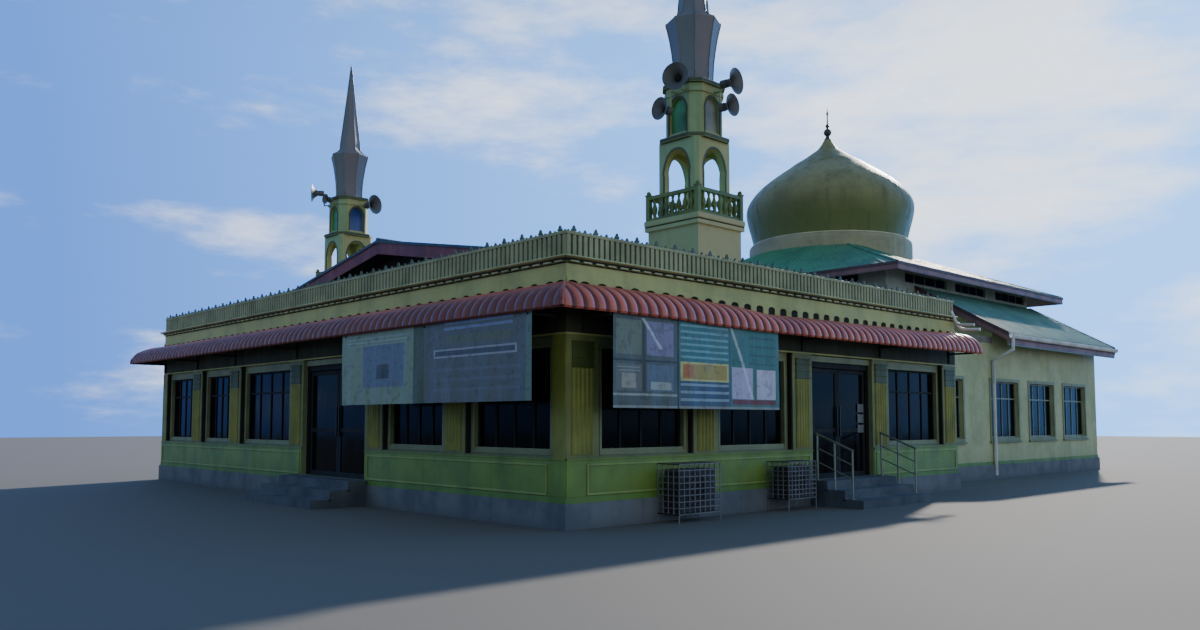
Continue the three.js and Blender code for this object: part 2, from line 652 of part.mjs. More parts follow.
// Low gable roof with deep edges, on walls set back under its overhang
function addFrontGableRoof() {
  const half = GABLE_ROOF_HALF_WIDTH;
  const topZ = (y) => GABLE_ROOF_RIDGE_Z - GABLE_ROOF_PITCH * y;
  const soffitZ = (y) => topZ(y) - GABLE_ROOF_DEPTH;
  const slopes = outline([[-half, soffitZ(half)], [0, soffitZ(0)], [half, soffitZ(half)], [half, topZ(half)],
    [0, topZ(0)], [-half, topZ(half)]]);
  const wall = half - GABLE_ROOF_OVERHANG;
  const block = outline([[-wall, DECK_TOP], [wall, DECK_TOP], [wall, soffitZ(wall) + FUSE],
    [0, soffitZ(0) + FUSE], [-wall, soffitZ(wall) + FUSE]]);
  const [x0, x1] = GABLE_ROOF_X;
  const [wall0, wall1] = [x0 + GABLE_ROOF_OVERHANG, x1 - GABLE_ROOF_OVERHANG];
  const inner = wall - GABLE_ROOF_WALL;
  const room = box(wall0 + GABLE_ROOF_WALL, wall1 - GABLE_ROOF_WALL, -inner, inner,
    DECK_TOP - GABLE_ROOF_WALL, GABLE_ROOF_RIDGE_Z);
  add('front_gable_roof', join([alongX(slopes, x0, x1), cut(alongX(block, wall0, wall1), [room])]), 'maroon');
}

// Prayer hall
const leanToZ = (y) => LEAN_TO_EAVE_Z
  + (LEAN_TO_EAVE_Y - y) * (LEAN_TO_HEAD - LEAN_TO_EAVE_Z) / (LEAN_TO_EAVE_Y - CLERESTORY_HALF_WIDTH);

function addHallWalls() {
  const start = FRONT_X + BLOCK_DEPTH;
  const rearInner = HALL_END_X - HALL_WALL;
  const eaveWallTop = leanToZ(HALL_HALF_WIDTH) - LEAN_TO_THICKNESS - SEAT_GAP;
  const headTop = LEAN_TO_HEAD - LEAN_TO_THICKNESS - SEAT_GAP;
  const w = HALL_WINDOW_WIDTH;
  for (const [side, name] of [[-1, 'hall_wall_right'], [1, 'hall_wall_left']]) {
    const shape = outline([[start, FLOOR_TOP], [rearInner, FLOOR_TOP], [rearInner, eaveWallTop],
      [GABLE_X, eaveWallTop], [GABLE_X, DECK_FOOT], [start, DECK_FOOT]]);
    const [y0, y1] = side < 0 ? [-HALL_HALF_WIDTH, -HALL_HALF_WIDTH + HALL_WALL]
      : [HALL_HALF_WIDTH - HALL_WALL, HALL_HALF_WIDTH];
    const gable = [[HALL_HALF_WIDTH, DECK_FOOT], [HALL_HALF_WIDTH, eaveWallTop],
      [CLERESTORY_HALF_WIDTH, headTop], [CLERESTORY_HALF_WIDTH, DECK_FOOT]].map(([y, z]) => [side * y, z]);
    if (side < 0) gable.reverse();
    const wall = join([alongY(shape, y0, y1), alongX(outline(gable), GABLE_X, GABLE_X + HALL_WALL)]);
    add(name, cut(wall, HALL_SIDE_WINDOWS.map((x) =>
      box(x - w / 2, x + w / 2, y0 - w, y1 + w, SILL_TOP, WINDOW_HEAD))), 'hall');
  }
  const half = [[0, FLOOR_TOP], [HALL_HALF_WIDTH, FLOOR_TOP], [HALL_HALF_WIDTH, eaveWallTop],
    [CLERESTORY_HALF_WIDTH, headTop], [CLERESTORY_HALF_WIDTH, RING_FOOT]];
  const rear = outline([...half.slice(1), ...half.slice(1).reverse().map(([y, z]) => [-y, z])]);
  add('hall_wall_rear', cut(alongX(rear, rearInner, HALL_END_X), HALL_REAR_WINDOWS.map((y) =>
    box(rearInner - w, HALL_END_X + w, y - w / 2, y + w / 2, SILL_TOP, WINDOW_HEAD))), 'hall');
}

function addRingBeam() {
  const [x0, x1] = [CLERESTORY_FRONT_X, HALL_END_X];
  const cx = (x0 + x1) / 2;
  const hx = (x1 - x0) / 2;
  const hy = CLERESTORY_HALF_WIDTH;
  const w = RING_WIDTH;
  const ringBeam = loft([rectangle(cx, hx, hy, RING_FOOT), rectangle(cx, hx, hy, RING_TOP),
    rectangle(cx, hx - w, hy - w, RING_TOP), rectangle(cx, hx - w, hy - w, RING_FOOT)], true);
  const column = (x, y) => box(x - w / 2, x + w / 2, y - w / 2, y + w / 2, FLOOR_TOP, RING_FOOT + FUSE);
  const columns = [-1, 1].flatMap((s) => [...RING_COLUMN_Y.map((y) => column(x0 + w / 2, s * y)),
    column(HALL_AXIS_X, s * (hy - w / 2))]);
  add('hall_ring_beam', join([ringBeam, ...columns]), 'hall');
}

// Upper roof, from its rectangular eave to the round opening for the drum
const UPPER_EAVE_HALF = [UPPER_EAVE_X - FASCIA_BOARD, UPPER_EAVE_Y - FASCIA_BOARD];
const UPPER_OPENING = DRUM_RADIUS + SEAT_GAP;

function eavePoint(angle, z) {
  const [c, s] = [Math.cos(angle), Math.sin(angle)];
  const reach = Math.max(Math.abs(c), Math.abs(s));
  return [HALL_AXIS_X + UPPER_EAVE_HALF[0] * c / reach, UPPER_EAVE_HALF[1] * s / reach, z];
}

// The opening is level across the front and the rear and dips towards the two sides
function openingPoint(angle, drop) {
  const share = Math.max(0, (Math.abs(Math.sin(angle)) - Math.SQRT1_2) / (1 - Math.SQRT1_2));
  const z = UPPER_TOP_Z - (UPPER_TOP_Z - UPPER_SIDE_TOP_Z) * share ** 2 - drop;
  return [HALL_AXIS_X + UPPER_OPENING * Math.cos(angle), UPPER_OPENING * Math.sin(angle), z];
}

// The walls end under the lowest part of the upper roof's underside, at the middle of its sides
function addClerestory() {
  const [x0, x1] = [CLERESTORY_FRONT_X, HALL_END_X];
  const cx = (x0 + x1) / 2;
  const hx = (x1 - x0) / 2;
  const hy = CLERESTORY_HALF_WIDTH;
  const t = HALL_WALL;
  const slope = (UPPER_SIDE_TOP_Z - UPPER_EAVE_Z) / (UPPER_EAVE_HALF[1] - UPPER_OPENING);
  const top = UPPER_EAVE_Z - UPPER_THICKNESS + slope * (UPPER_EAVE_HALF[1] - hy) - SEAT_GAP;
  const body = loft([rectangle(cx, hx, hy, RING_TOP), rectangle(cx, hx, hy, top),
    rectangle(cx, hx - t, hy - t, top), rectangle(cx, hx - t, hy - t, RING_TOP)], true);
  const windows = CLERESTORY_POSTS.slice(0, -1).map(([, from], i) =>
    box(from, CLERESTORY_POSTS[i + 1][0], -hy - t, hy + t, CLERESTORY_SILL, CLERESTORY_HEAD));
  const ends = CLERESTORY_END_WINDOWS.map((y) => box(x0 - t, x1 + t, y - CLERESTORY_END_WIDTH / 2,
    y + CLERESTORY_END_WIDTH / 2, CLERESTORY_SILL, CLERESTORY_HEAD));
  add('clerestory', cut(body, [...windows, ...ends]), 'hall');
}

function addLeanToRoofs() {
  const t = LEAN_TO_THICKNESS;
  const board = FASCIA_BOARD;
  const head = CLERESTORY_HALF_WIDTH + SEAT_GAP;
  const inner = LEAN_TO_EAVE_Y - board;
  const foot = LEAN_TO_EAVE_Z - LEAN_TO_FASCIA;
  const profile = [[head, LEAN_TO_HEAD], [head, LEAN_TO_HEAD - t], [inner, leanToZ(inner) - t], [inner, foot],
    [LEAN_TO_EAVE_Y, foot], [LEAN_TO_EAVE_Y, LEAN_TO_EAVE_Z]];
  for (const [side, name] of [[-1, 'lean_to_roof_right'], [1, 'lean_to_roof_left']]) {
    const section = (x) => profile.map(([y, z]) => [x, side * y, z]);
    add(name, loft([section(LEAN_TO_FRONT_X), section(LEAN_TO_REAR_X)]), 'teal');
  }
}

function addUpperRoof() {
  const z = UPPER_EAVE_Z;
  const t = UPPER_THICKNESS;
  const angles = Array.from({ length: DOME_SIDES }, (_, i) => i * 2 * Math.PI / DOME_SIDES);
  const around = (point, value) => angles.map((angle) => point(angle, value));
  add('upper_roof', loft([around(eavePoint, z - t), around(eavePoint, z), around(openingPoint, 0),
    around(openingPoint, t)], true), 'teal');
  const ring = (inset, height) =>
    rectangle(HALL_AXIS_X, UPPER_EAVE_X - inset, UPPER_EAVE_Y - inset, height);
  const [foot, head] = [z + UPPER_FASCIA_LIP - UPPER_FASCIA, z + UPPER_FASCIA_LIP];
  add('upper_fascia', loft([ring(0, foot), ring(0, head), ring(FASCIA_BOARD, head), ring(FASCIA_BOARD, foot)],
    true), 'maroon');
}

function addDome() {
  const place = (geometry) => geometry.translate(HALL_AXIS_X, 0, 0);
  const drumInside = DRUM_PROFILE.map(([r, z]) => [r - DRUM_THICKNESS, z]).reverse();
  add('drum', place(lathe([...DRUM_PROFILE, ...drumInside, DRUM_PROFILE[0]], DOME_SIDES)), 'drum');
  const inside = DOME_PROFILE.slice(0, -2)
    .map(([r, z], i) => [r - DOME_SHELL, i < DOME_UPRIGHT_POINTS ? z : z - DOME_SHELL]);
  const apex = [0, inside[inside.length - 1][1] + DOME_APEX_RISE];
  const shell = [apex, ...inside.reverse(), ...DOME_PROFILE, [0, DOME_PROFILE[DOME_PROFILE.length - 1][1]]];
  add('dome', place(lathe(shell, DOME_SIDES)), 'dome');
  add('finial', place(lathe(FINIAL_PROFILE, FINIAL_SIDES)), 'gold');
}

// Minaret pieces, made at the axis of the minaret
const square = (size, z0, z1) => box(-size / 2, size / 2, -size / 2, size / 2, z0, z1);

function balustrade() {
  const half = BALUSTRADE_SIZE / 2;
  const post = BALUSTRADE_POST;
  const top = BALCONY_TOP + BALUSTRADE_HEIGHT;
  const pieces = [];
  for (const sx of [-1, 1]) {
    for (const sy of [-1, 1]) {
      const [x, y] = [sx * (half - post / 2), sy * (half - post / 2)];
      pieces.push(box(x - post / 2, x + post / 2, y - post / 2, y + post / 2, BALCONY_TOP,
        top + POST_CAP));
    }
  }
  const rail = (u0, u1, v0, v1, z0, z1) =>
    pieces.push(box(u0, u1, v0, v1, z0, z1), box(v0, v1, u0, u1, z0, z1));
  const line = half - post / 2;
  const bar = BALUSTER_WIDTH / 2;
  const edge = RAIL_WIDTH / 2;
  for (const s of [-1, 1]) {
    rail(-line, line, s * line - edge, s * line + edge, top - RAIL_HEIGHT, top);
    rail(-line, line, s * line - edge, s * line + edge, BALCONY_TOP, BALCONY_TOP + RAIL_HEIGHT);
    for (let i = 1; i <= BALUSTERS_PER_SIDE; i += 1) {
      const u = -line + 2 * line * i / (BALUSTERS_PER_SIDE + 1);
      rail(u - bar, u + bar, s * line - bar, s * line + bar, BALCONY_TOP + BALUSTER_TENON,
        top - BALUSTER_TENON);
    }
  }
  return join(pieces);
}

const chamfered = (size, chamfer) => {
  const h = size / 2;
  const k = h - chamfer;
  return [[k, -h], [h, -k], [h, k], [k, h], [-k, h], [-h, k], [-h, -k], [-k, -h]];
};

// Open stage: four corner piers round a small room, with an arch on each side
function archStage() {
  const reach = ARCH_STAGE_SIZE;
  const arch = pointedArch(ARCH_WIDTH, ARCH_FOOT, ARCH_SPRING, ARCH_APEX);
  const { half, top } = ARCH_ROOM;
  const body = cut(slab(chamfered(ARCH_STAGE_SIZE, ARCH_STAGE_CHAMFER), BALCONY_TOP, ARCH_STAGE_TOP),
    [alongY(arch, -reach, reach), alongX(arch, -reach, reach),
      box(-half, half, -half, half, ARCH_FOOT, top)]);
  const crown = chamfered(ARCH_CORNICE_SIZE, ARCH_CORNICE_CHAMFER);
  return join([body, slab(crown, ARCH_STAGE_TOP - FUSE, ARCH_CORNICE_TOP)]);
}

function lantern() {
  const arch = pointedArch(NICHE_WIDTH, NICHE_FOOT, NICHE_SPRING, NICHE_APEX);
  const [near, far] = [LANTERN_SIZE / 2 - NICHE_DEPTH, LANTERN_SIZE];
  const body = cut(slab(chamfered(LANTERN_SIZE, LANTERN_CHAMFER), ARCH_CORNICE_TOP, LANTERN_TOP),
    [alongY(arch, near, far), alongY(arch, -far, -near), alongX(arch, near, far), alongX(arch, -far, -near)]);
  const crown = chamfered(LANTERN_CORNICE_SIZE, LANTERN_CHAMFER);
  return join([body, slab(crown, LANTERN_TOP - FUSE, LANTERN_CORNICE_TOP)]);
}

// Horn loudspeaker, pointing away from the axis at a heading in degrees
function horn(start, { heading, height, size }) {
  const radius = HORN_RADIUS * size;
  const length = HORN_LENGTH * size;
  const driver = HORN_DRIVER * size;
  const flare = HORN_FLARE.map(([r, z]) => [r * radius, driver + z * length]);
  const inside = flare.slice(1).map(([r, z]) => [r - HORN_WALL, z]).reverse();
  const back = [[0, 0], [HORN_DRIVER_RADIUS, 0], [HORN_DRIVER_RADIUS, driver]];
  const points = [...back, ...flare, ...inside, [0, driver + length * HORN_THROAT_DEPTH]]
    .map(([r, z]) => new THREE.Vector2(r, z));
  return new THREE.LatheGeometry(points, HORN_SIDES).rotateZ(-Math.PI / 2)
    .translate(start, 0, 0).rotateZ(THREE.MathUtils.degToRad(heading)).translate(0, 0, height);
}

// Distance from the axis to the outside of the clamp band at a heading
function bandReach(heading) {
  const half = LANTERN_SIZE / 2 + BAND_THICKNESS;
  const chamferDistance = (2 * half - LANTERN_CHAMFER) / Math.SQRT2;
  const distances = Array.from({ length: 8 }, (_, i) => {
    const slant = Math.cos(THREE.MathUtils.degToRad(heading - 45 * i));
    return slant > 0 ? (i % 2 ? chamferDistance : half) / slant : Infinity;
  });
  return Math.min(...distances);
}

function hornArm({ heading, height }) {
  const reach = bandReach(heading);
  const [x0, x1, w] = [reach - ARM_ROOT, reach + ARM_REACH, ARM_WIDTH / 2];
  const arm = box(x0, x1, -w, w, BAND_FOOT, BAND_TOP);
  const [low, high] = [Math.min(height, BAND_FOOT) - w, Math.max(height, BAND_TOP) + w];
  const post = box(x1 - ARM_WIDTH, x1, -w, w, low, high);
  return join([arm, post]).rotateZ(THREE.MathUtils.degToRad(heading));
}

function loudspeakers(horns) {
  const s = LANTERN_SIZE + 2 * BAND_THICKNESS;
  const outer = slab(chamfered(s, LANTERN_CHAMFER), BAND_FOOT, BAND_TOP);
  const inner = slab(chamfered(LANTERN_SIZE + 2 * SEAT_GAP, LANTERN_CHAMFER), BAND_FOOT - BAND_CLEAR,
    BAND_TOP + BAND_CLEAR);
  const bodies = horns.map((one) => horn(bandReach(one.heading) + ARM_REACH - HORN_SEAT, one));
  return join([cut(outer, [inner]), ...horns.map(hornArm), ...bodies]);
}

function addMinarets() {
  for (const { word, x, y } of MINARETS) {
    const place = (geometry) => geometry.translate(x, y, 0);
    const piece = (name, geometry, material) => add(`minaret_${word}_${name}`, place(geometry), material);
    piece('base', join([square(MINARET_BASE, DECK_TOP, MINARET_BASE_TOP + FUSE),
      square(BALCONY_SIZE, MINARET_BASE_TOP, BALCONY_TOP)]), 'minaret');
    piece('balustrade', balustrade(), 'green');
    piece('arches', archStage(), 'minaret');
    piece('lantern', lantern(), 'minaret');
    piece('spire', lathe([[0, LANTERN_CORNICE_TOP], ...SPIRE_PROFILE], SPIRE_SIDES), 'spire');
    piece('loudspeakers', loudspeakers(HORNS[word]), 'horn');
  }
}

// Condenser in its cage of bars, standing on short legs against the right wall
function addCondenserCages() {
  const b = CAGE_BAR;
  for (const { name, from, to, foot, top } of CAGES) {
    const [x0, x1] = [FRONT_X + from, FRONT_X + to];
    const [y0, y1] = [-HALF_WIDTH - CAGE_FAR, -HALF_WIDTH - CAGE_NEAR];
    const bars = [];
    const verticals = [x0, (x0 + x1) / 2 - b / 2, x1 - b];
    for (const y of [y0, y1 - b]) {
      verticals.forEach((x, i) => bars.push(box(x, x + b, y, y + b, i === 1 ? foot : 0, top)));
      for (const z of [foot, (foot + top) / 2, top - b]) bars.push(box(x0, x1, y, y + b, z, z + b));
    }
    for (const x of [x0, x1 - b]) {
      for (const [z, ledge] of [[foot, PLINTH_LEDGE], [top - b, 0]]) {
        bars.push(box(x, x + b, y0, -HALF_WIDTH - ledge - SEAT_GAP, z, z + b));
      }
    }
    const [sides, ends] = [CAGE_UNIT_GAPS.sides, CAGE_UNIT_GAPS.ends];
    const unit = box(x0 + ends, x1 - ends, y0 + sides, y1 - sides, foot + b - FUSE, top - ends);
    const tray = box(x0 + CAGE_TRAY_GAP, x1 - CAGE_TRAY_GAP, y0 + CAGE_TRAY_GAP, y1 - CAGE_TRAY_GAP,
      foot + CAGE_TRAY_GAP, foot + b);
    add(name, join([...bars, unit, tray]), 'cage');
  }
}

// How far out the inside of the canopy is at a height near its free edge
function canopyInside(height) {
  const [[outA, zA], [outB, zB]] = canopySection().slice(CANOPY_STEPS + 1, CANOPY_STEPS + 3);
  return outA + (outB - outA) * (height - zA) / (zB - zA);
}

// Banners tied to the inside of the canopies at their heads
function addBanners() {
  const outer = ({ head }) => canopyInside(head) - SEAT_GAP;
  const side = outer(SIDE_BANNER);
  add('banner_side', box(FRONT_X + SIDE_BANNER.from, FRONT_X + SIDE_BANNER.to, -HALF_WIDTH - side,
    -HALF_WIDTH - side + BANNER_THICKNESS, SIDE_BANNER.foot, SIDE_BANNER.head), 'banner');
  const front = outer(FRONT_BANNER);
  add('banner_front', box(FRONT_X - front, FRONT_X - front + BANNER_THICKNESS,
    -HALF_WIDTH + FRONT_BANNER.from, -HALF_WIDTH + FRONT_BANNER.to,
    FRONT_BANNER.foot, FRONT_BANNER.head), 'banner');
}

addBase();
addSteps();
addHandrails();
addFrontBlockWalls();
addGlass();
addParapets();
addCanopies();
addDoors();
addCrossFrames();
addDeck();
addFrontGableRoof();
addHallWalls();
addRingBeam();
addClerestory();
addLeanToRoofs();
addUpperRoof();
addDome();
addMinarets();
addCondenserCages();
addBanners();

export default group;
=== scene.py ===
"""Looks of a small mosque building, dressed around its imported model. Metres, +Z up."""
import json
import math

import bmesh
import bpy
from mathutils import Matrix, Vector

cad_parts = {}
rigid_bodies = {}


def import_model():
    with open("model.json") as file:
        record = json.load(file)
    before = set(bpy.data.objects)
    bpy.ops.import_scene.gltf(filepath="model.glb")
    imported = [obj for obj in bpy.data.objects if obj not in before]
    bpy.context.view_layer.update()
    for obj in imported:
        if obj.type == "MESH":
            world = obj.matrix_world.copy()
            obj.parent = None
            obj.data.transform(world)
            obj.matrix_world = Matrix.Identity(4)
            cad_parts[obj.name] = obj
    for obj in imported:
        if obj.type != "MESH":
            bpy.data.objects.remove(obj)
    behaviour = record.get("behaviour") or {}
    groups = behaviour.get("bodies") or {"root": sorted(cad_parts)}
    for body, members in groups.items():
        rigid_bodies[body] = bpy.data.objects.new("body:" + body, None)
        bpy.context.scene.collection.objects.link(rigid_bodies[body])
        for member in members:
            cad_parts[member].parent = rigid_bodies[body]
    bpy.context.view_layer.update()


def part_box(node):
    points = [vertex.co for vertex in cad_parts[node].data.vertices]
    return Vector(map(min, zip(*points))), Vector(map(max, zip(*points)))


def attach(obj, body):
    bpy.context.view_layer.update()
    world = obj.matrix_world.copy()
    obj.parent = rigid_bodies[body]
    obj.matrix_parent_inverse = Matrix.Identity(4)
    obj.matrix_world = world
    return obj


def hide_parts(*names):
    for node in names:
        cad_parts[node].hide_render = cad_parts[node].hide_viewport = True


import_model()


def centre_of(node):
    """Place of a node's middle on the ground plan."""
    low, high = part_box(node)
    return (low.x + high.x) / 2, (low.y + high.y) / 2


# Driving places, read from the frame
FRONT_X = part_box("front_wall_right")[0].x
HALF = -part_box("right_wall_rear")[0].y
REAR_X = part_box("parapet_right")[1].x
BLOCK = REAR_X - FRONT_X
WIDTH = 2 * HALF
PLINTH_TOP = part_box("plinth")[1].z
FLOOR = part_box("floor_slab")[1].z
BEAM_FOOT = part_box("right_wall_front")[1].z
DECK_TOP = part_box("roof_deck")[1].z
HALL_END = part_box("hall_wall_rear")[1].x
HALL_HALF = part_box("hall_wall_left")[1].y
AXIS_X = centre_of("drum")[0]

# Posts along the facades as (start, end): metres back from the front, and across from the door side
SIDE_POSTS = ((0.0, 0.65), (2.84, 3.49), (5.68, 6.33), (8.52, 9.17), (11.60, 12.25))
FRONT_POSTS = ((0.0, 0.30), (2.545, 3.195), (5.21, 5.86), (8.47, 9.12), (11.74, 12.39), (14.16, 14.81),
               (16.70, 17.0))
SIDE_DOOR_BAY = 2
FRONT_DOOR_BAY = 2

# Heights of the bays' parts, and the depth and width of their borders
DADO_TOP = 1.05
SILL = 1.13
HEAD = 2.73
RECESS = 0.10
BORDER = 0.15

# Camera solved from the photograph
CAMERA_AT = (-21.715, -19.012, 1.6)
CAMERA_HEADING = (0.6858, 0.7278)
CAMERA_PITCH = math.radians(3.9)
CAMERA_LENS = 28.35
CAMERA_SENSOR = 36
CAMERA_SHIFT = 0.035

ROOT = "building"


def srgb(red, green, blue):
    """Linear colour of an 8-bit screen colour."""
    def line(value):
        value /= 255
        return value / 12.92 if value <= 0.04045 else ((value + 0.055) / 1.055) ** 2.4
    return line(red), line(green), line(blue), 1.0


# Camera

def make_camera():
    data = bpy.data.cameras.new("camera")
    data.lens = CAMERA_LENS
    data.sensor_width = CAMERA_SENSOR
    data.shift_y = CAMERA_SHIFT
    data.clip_end = 500
    camera = bpy.data.objects.new("camera", data)
    camera.location = CAMERA_AT
    x, y = CAMERA_HEADING
    aim = Vector((x * math.cos(CAMERA_PITCH), y * math.cos(CAMERA_PITCH), math.sin(CAMERA_PITCH)))
    camera.rotation_euler = aim.to_track_quat("-Z", "Y").to_euler()
    bpy.context.scene.collection.objects.link(camera)
    bpy.context.scene.camera = camera


# Finishes

def scaled(colour, factor, plus=0.0):
    """A colour with its channels multiplied and raised."""
    return (*(min(1.0, factor * channel + plus) for channel in colour[:3]), 1.0)


class Nodes:
    """Makes and links the shader nodes of one tree, over a named kind of coordinates."""

    def __init__(self, tree, place):
        self.tree = tree
        self.spot = self.node("ShaderNodeTexCoord").outputs[place]

    def node(self, kind, **settings):
        node = self.tree.nodes.new(kind)
        for key, value in settings.items():
            setattr(node, key, value)
        return node

    def feed(self, socket, value):
        if isinstance(value, bpy.types.NodeSocket):
            self.tree.links.new(value, socket)
        else:
            socket.default_value = value

    def noise(self, scale, stretch=(1, 1, 1), detail=5, rough=0.6):
        mapping = self.node("ShaderNodeMapping")
        self.feed(mapping.inputs["Vector"], self.spot)
        self.feed(mapping.inputs["Scale"], stretch)
        node = self.node("ShaderNodeTexNoise")
        for socket, value in (("Vector", mapping.outputs["Vector"]), ("Scale", scale), ("Detail", detail),
                              ("Roughness", rough)):
            self.feed(node.inputs[socket], value)
        return node.outputs["Fac"]

    def part(self, vector, letter):
        split = self.node("ShaderNodeSeparateXYZ")
        self.feed(split.inputs[0], vector)
        return split.outputs[letter]

    def facing(self, letter):
        """Share of the surface's own direction along an axis, -1 to 1."""
        return self.part(self.node("ShaderNodeNewGeometry").outputs["Normal"], letter)

    def axis(self, letter):
        return self.part(self.spot, letter)

    def toward(self, direction):
        """Share of the coordinates' direction along a given one, -1 to 1."""
        node = self.node("ShaderNodeVectorMath", operation="DOT_PRODUCT")
        self.feed(node.inputs[0], self.spot)
        self.feed(node.inputs[1], direction)
        return node.outputs["Value"]

    def math(self, operation, *values):
        node = self.node("ShaderNodeMath", operation=operation)
        for socket, value in zip(node.inputs, values):
            self.feed(socket, value)
        return node.outputs[0]

    def span(self, value, low, high, to_low=0.0, to_high=1.0, easing="SMOOTHSTEP"):
        node = self.node("ShaderNodeMapRange", interpolation_type=easing)
        for socket, number in (("Value", value), ("From Min", low), ("From Max", high), ("To Min", to_low),
                               ("To Max", to_high)):
            self.feed(node.inputs[socket], number)
        return node.outputs["Result"]

    def mix(self, first, second, factor):
        node = self.node("ShaderNodeMix", data_type="RGBA")
        self.feed(node.inputs["Factor"], factor)
        self.feed(node.inputs[6], first)
        self.feed(node.inputs[7], second)
        return node.outputs[2]


class Finish(Nodes):
    """A procedural material on a Principled shader, in metres of the object's own space."""

    def __init__(self, name, roughness=0.6, metallic=0.0, **sockets):
        self.material = bpy.data.materials.new(name)
        self.material.use_nodes = True
        super().__init__(self.material.node_tree, "Object")
        self.shader = self.tree.nodes["Principled BSDF"]
        self.shader.inputs["Roughness"].default_value = roughness
        self.shader.inputs["Metallic"].default_value = metallic
        for socket, value in sockets.items():
            self.shader.inputs[socket.replace("_", " ")].default_value = value

    def colour(self, value):
        self.feed(self.shader.inputs["Base Color"], value)

    def rough(self, value):
        self.feed(self.shader.inputs["Roughness"], value)

    def bump(self, layers):
        """layers are (height, distance in metres) pairs, coarse first."""
        normal = None
        for height, distance in layers:
            node = self.node("ShaderNodeBump")
            node.inputs["Distance"].default_value = distance
            self.feed(node.inputs["Height"], height)
            if normal is not None:
                self.feed(node.inputs["Normal"], normal)
            normal = node.outputs["Normal"]
        self.feed(self.shader.inputs["Normal"], normal)


def weathered(name, base, shade, roughness=0.75, metallic=0.0, stain=None, streak=0.3, foot=None,
              grain=0.004, mottle=1.6, **sockets):
    """Paint or render with mottling, rain streaks, a fine grain and, where foot is given, a dirty foot."""
    finish = Finish(name, roughness, metallic, **sockets)
    patch = finish.noise(mottle, detail=6)
    colour = finish.mix(base, shade, finish.span(patch, 0.35, 0.7))
    stain = stain or scaled(shade, 0.45)
    run = finish.noise(2.2, stretch=(3.0, 3.0, 0.22), detail=7, rough=0.7)
    colour = finish.mix(colour, stain, finish.span(run, 0.52, 0.78, 0.0, streak))
    if foot is not None:
        low, high, strength = foot
        splash = finish.math("ADD", finish.axis("Z"), finish.math("MULTIPLY", patch, 0.35))
        colour = finish.mix(colour, stain, finish.span(splash, low, high, strength, 0.0))
    fine = finish.noise(45.0, detail=4)
    colour = finish.mix(colour, stain, finish.span(fine, 0.62, 0.85, 0.0, 0.18))
    finish.colour(colour)
    finish.rough(finish.span(run, 0.3, 0.8, roughness - 0.08, min(roughness + 0.12, 1.0)))
    finish.bump([(finish.noise(6.0, detail=3), grain * 1.5), (fine, grain)])
    return finish.material


def glass_finish(name, tint, roughness=0.08):
    """Dark tinted glass: a gloss skin over a nearly black body, with dust."""
    finish = Finish(name, roughness, Specular_IOR_Level=0.05)
    dust = finish.noise(3.0, stretch=(1, 1, 0.4), detail=6)
    colour = finish.mix(tint, scaled(tint, 2.4), finish.span(dust, 0.45, 0.75))
    finish.colour(colour)
    finish.rough(finish.span(dust, 0.4, 0.8, roughness, roughness + 0.14))
    finish.bump([(finish.noise(1.3, detail=2), 0.002)])
    return finish.material


def shaded_by_facing(name, front, side, patch_tone, stain, roughness=0.68):
    """A weathered finish with painted light: faces turned along X take the front tone, a cool painted shade,
    and the other faces take the side tone, a warmer painted bounce light.
    """
    finish = Finish(name, roughness)
    # Painted light: the tone follows which way a face turns
    turn = finish.math("ABSOLUTE", finish.facing("X"))
    colour = finish.mix(side, front, finish.span(turn, 0.3, 0.8))
    patch = finish.noise(1.8, detail=6)
    colour = finish.mix(colour, patch_tone, finish.span(patch, 0.4, 0.75, 0.0, 0.45))
    run = finish.noise(2.4, stretch=(3, 3, 0.22), detail=7, rough=0.7)
    colour = finish.mix(colour, stain, finish.span(run, 0.52, 0.8, 0.0, 0.4))
    finish.colour(colour)
    finish.bump([(patch, 0.006), (finish.noise(45, detail=4), 0.004)])
    return finish.material


def sheet_metal(name, base, shade, roughness=0.42, under=None, front=None, coat=0.15):
    """Painted roof sheet with sun-faded patches, dust in the courses and fine scratches. front paints a darker
    shade tone on faces turned along X, and under paints shade on faces turned downwards.
    """
    finish = Finish(name, roughness, Coat_Weight=coat, Coat_Roughness=0.25)
    patch = finish.noise(0.9, detail=6)
    colour = finish.mix(base, shade, finish.span(patch, 0.35, 0.68))
    dust = finish.noise(9.0, detail=6, rough=0.7)
    colour = finish.mix(colour, scaled(base, 0.55, 0.18), finish.span(dust, 0.5, 0.8, 0.0, 0.35))
    # Painted shade: faces turned along X, such as the front canopy, darken towards the front tone
    if front is not None:
        turn = finish.math("ABSOLUTE", finish.facing("X"))
        colour = finish.mix(colour, front, finish.span(turn, 0.25, 0.6, 0.0, 0.9))
    # Painted shade: faces turned downwards, the roofs' undersides, take the dark under tone
    if under is not None:
        colour = finish.mix(colour, under, finish.span(finish.facing("Z"), -0.3, -0.1, 1.0, 0.0))
    finish.colour(colour)
    finish.rough(finish.span(dust, 0.35, 0.75, roughness - 0.08, roughness + 0.25))
    finish.bump([(patch, 0.006), (finish.noise(60, detail=3), 0.0012)])
    return finish.material


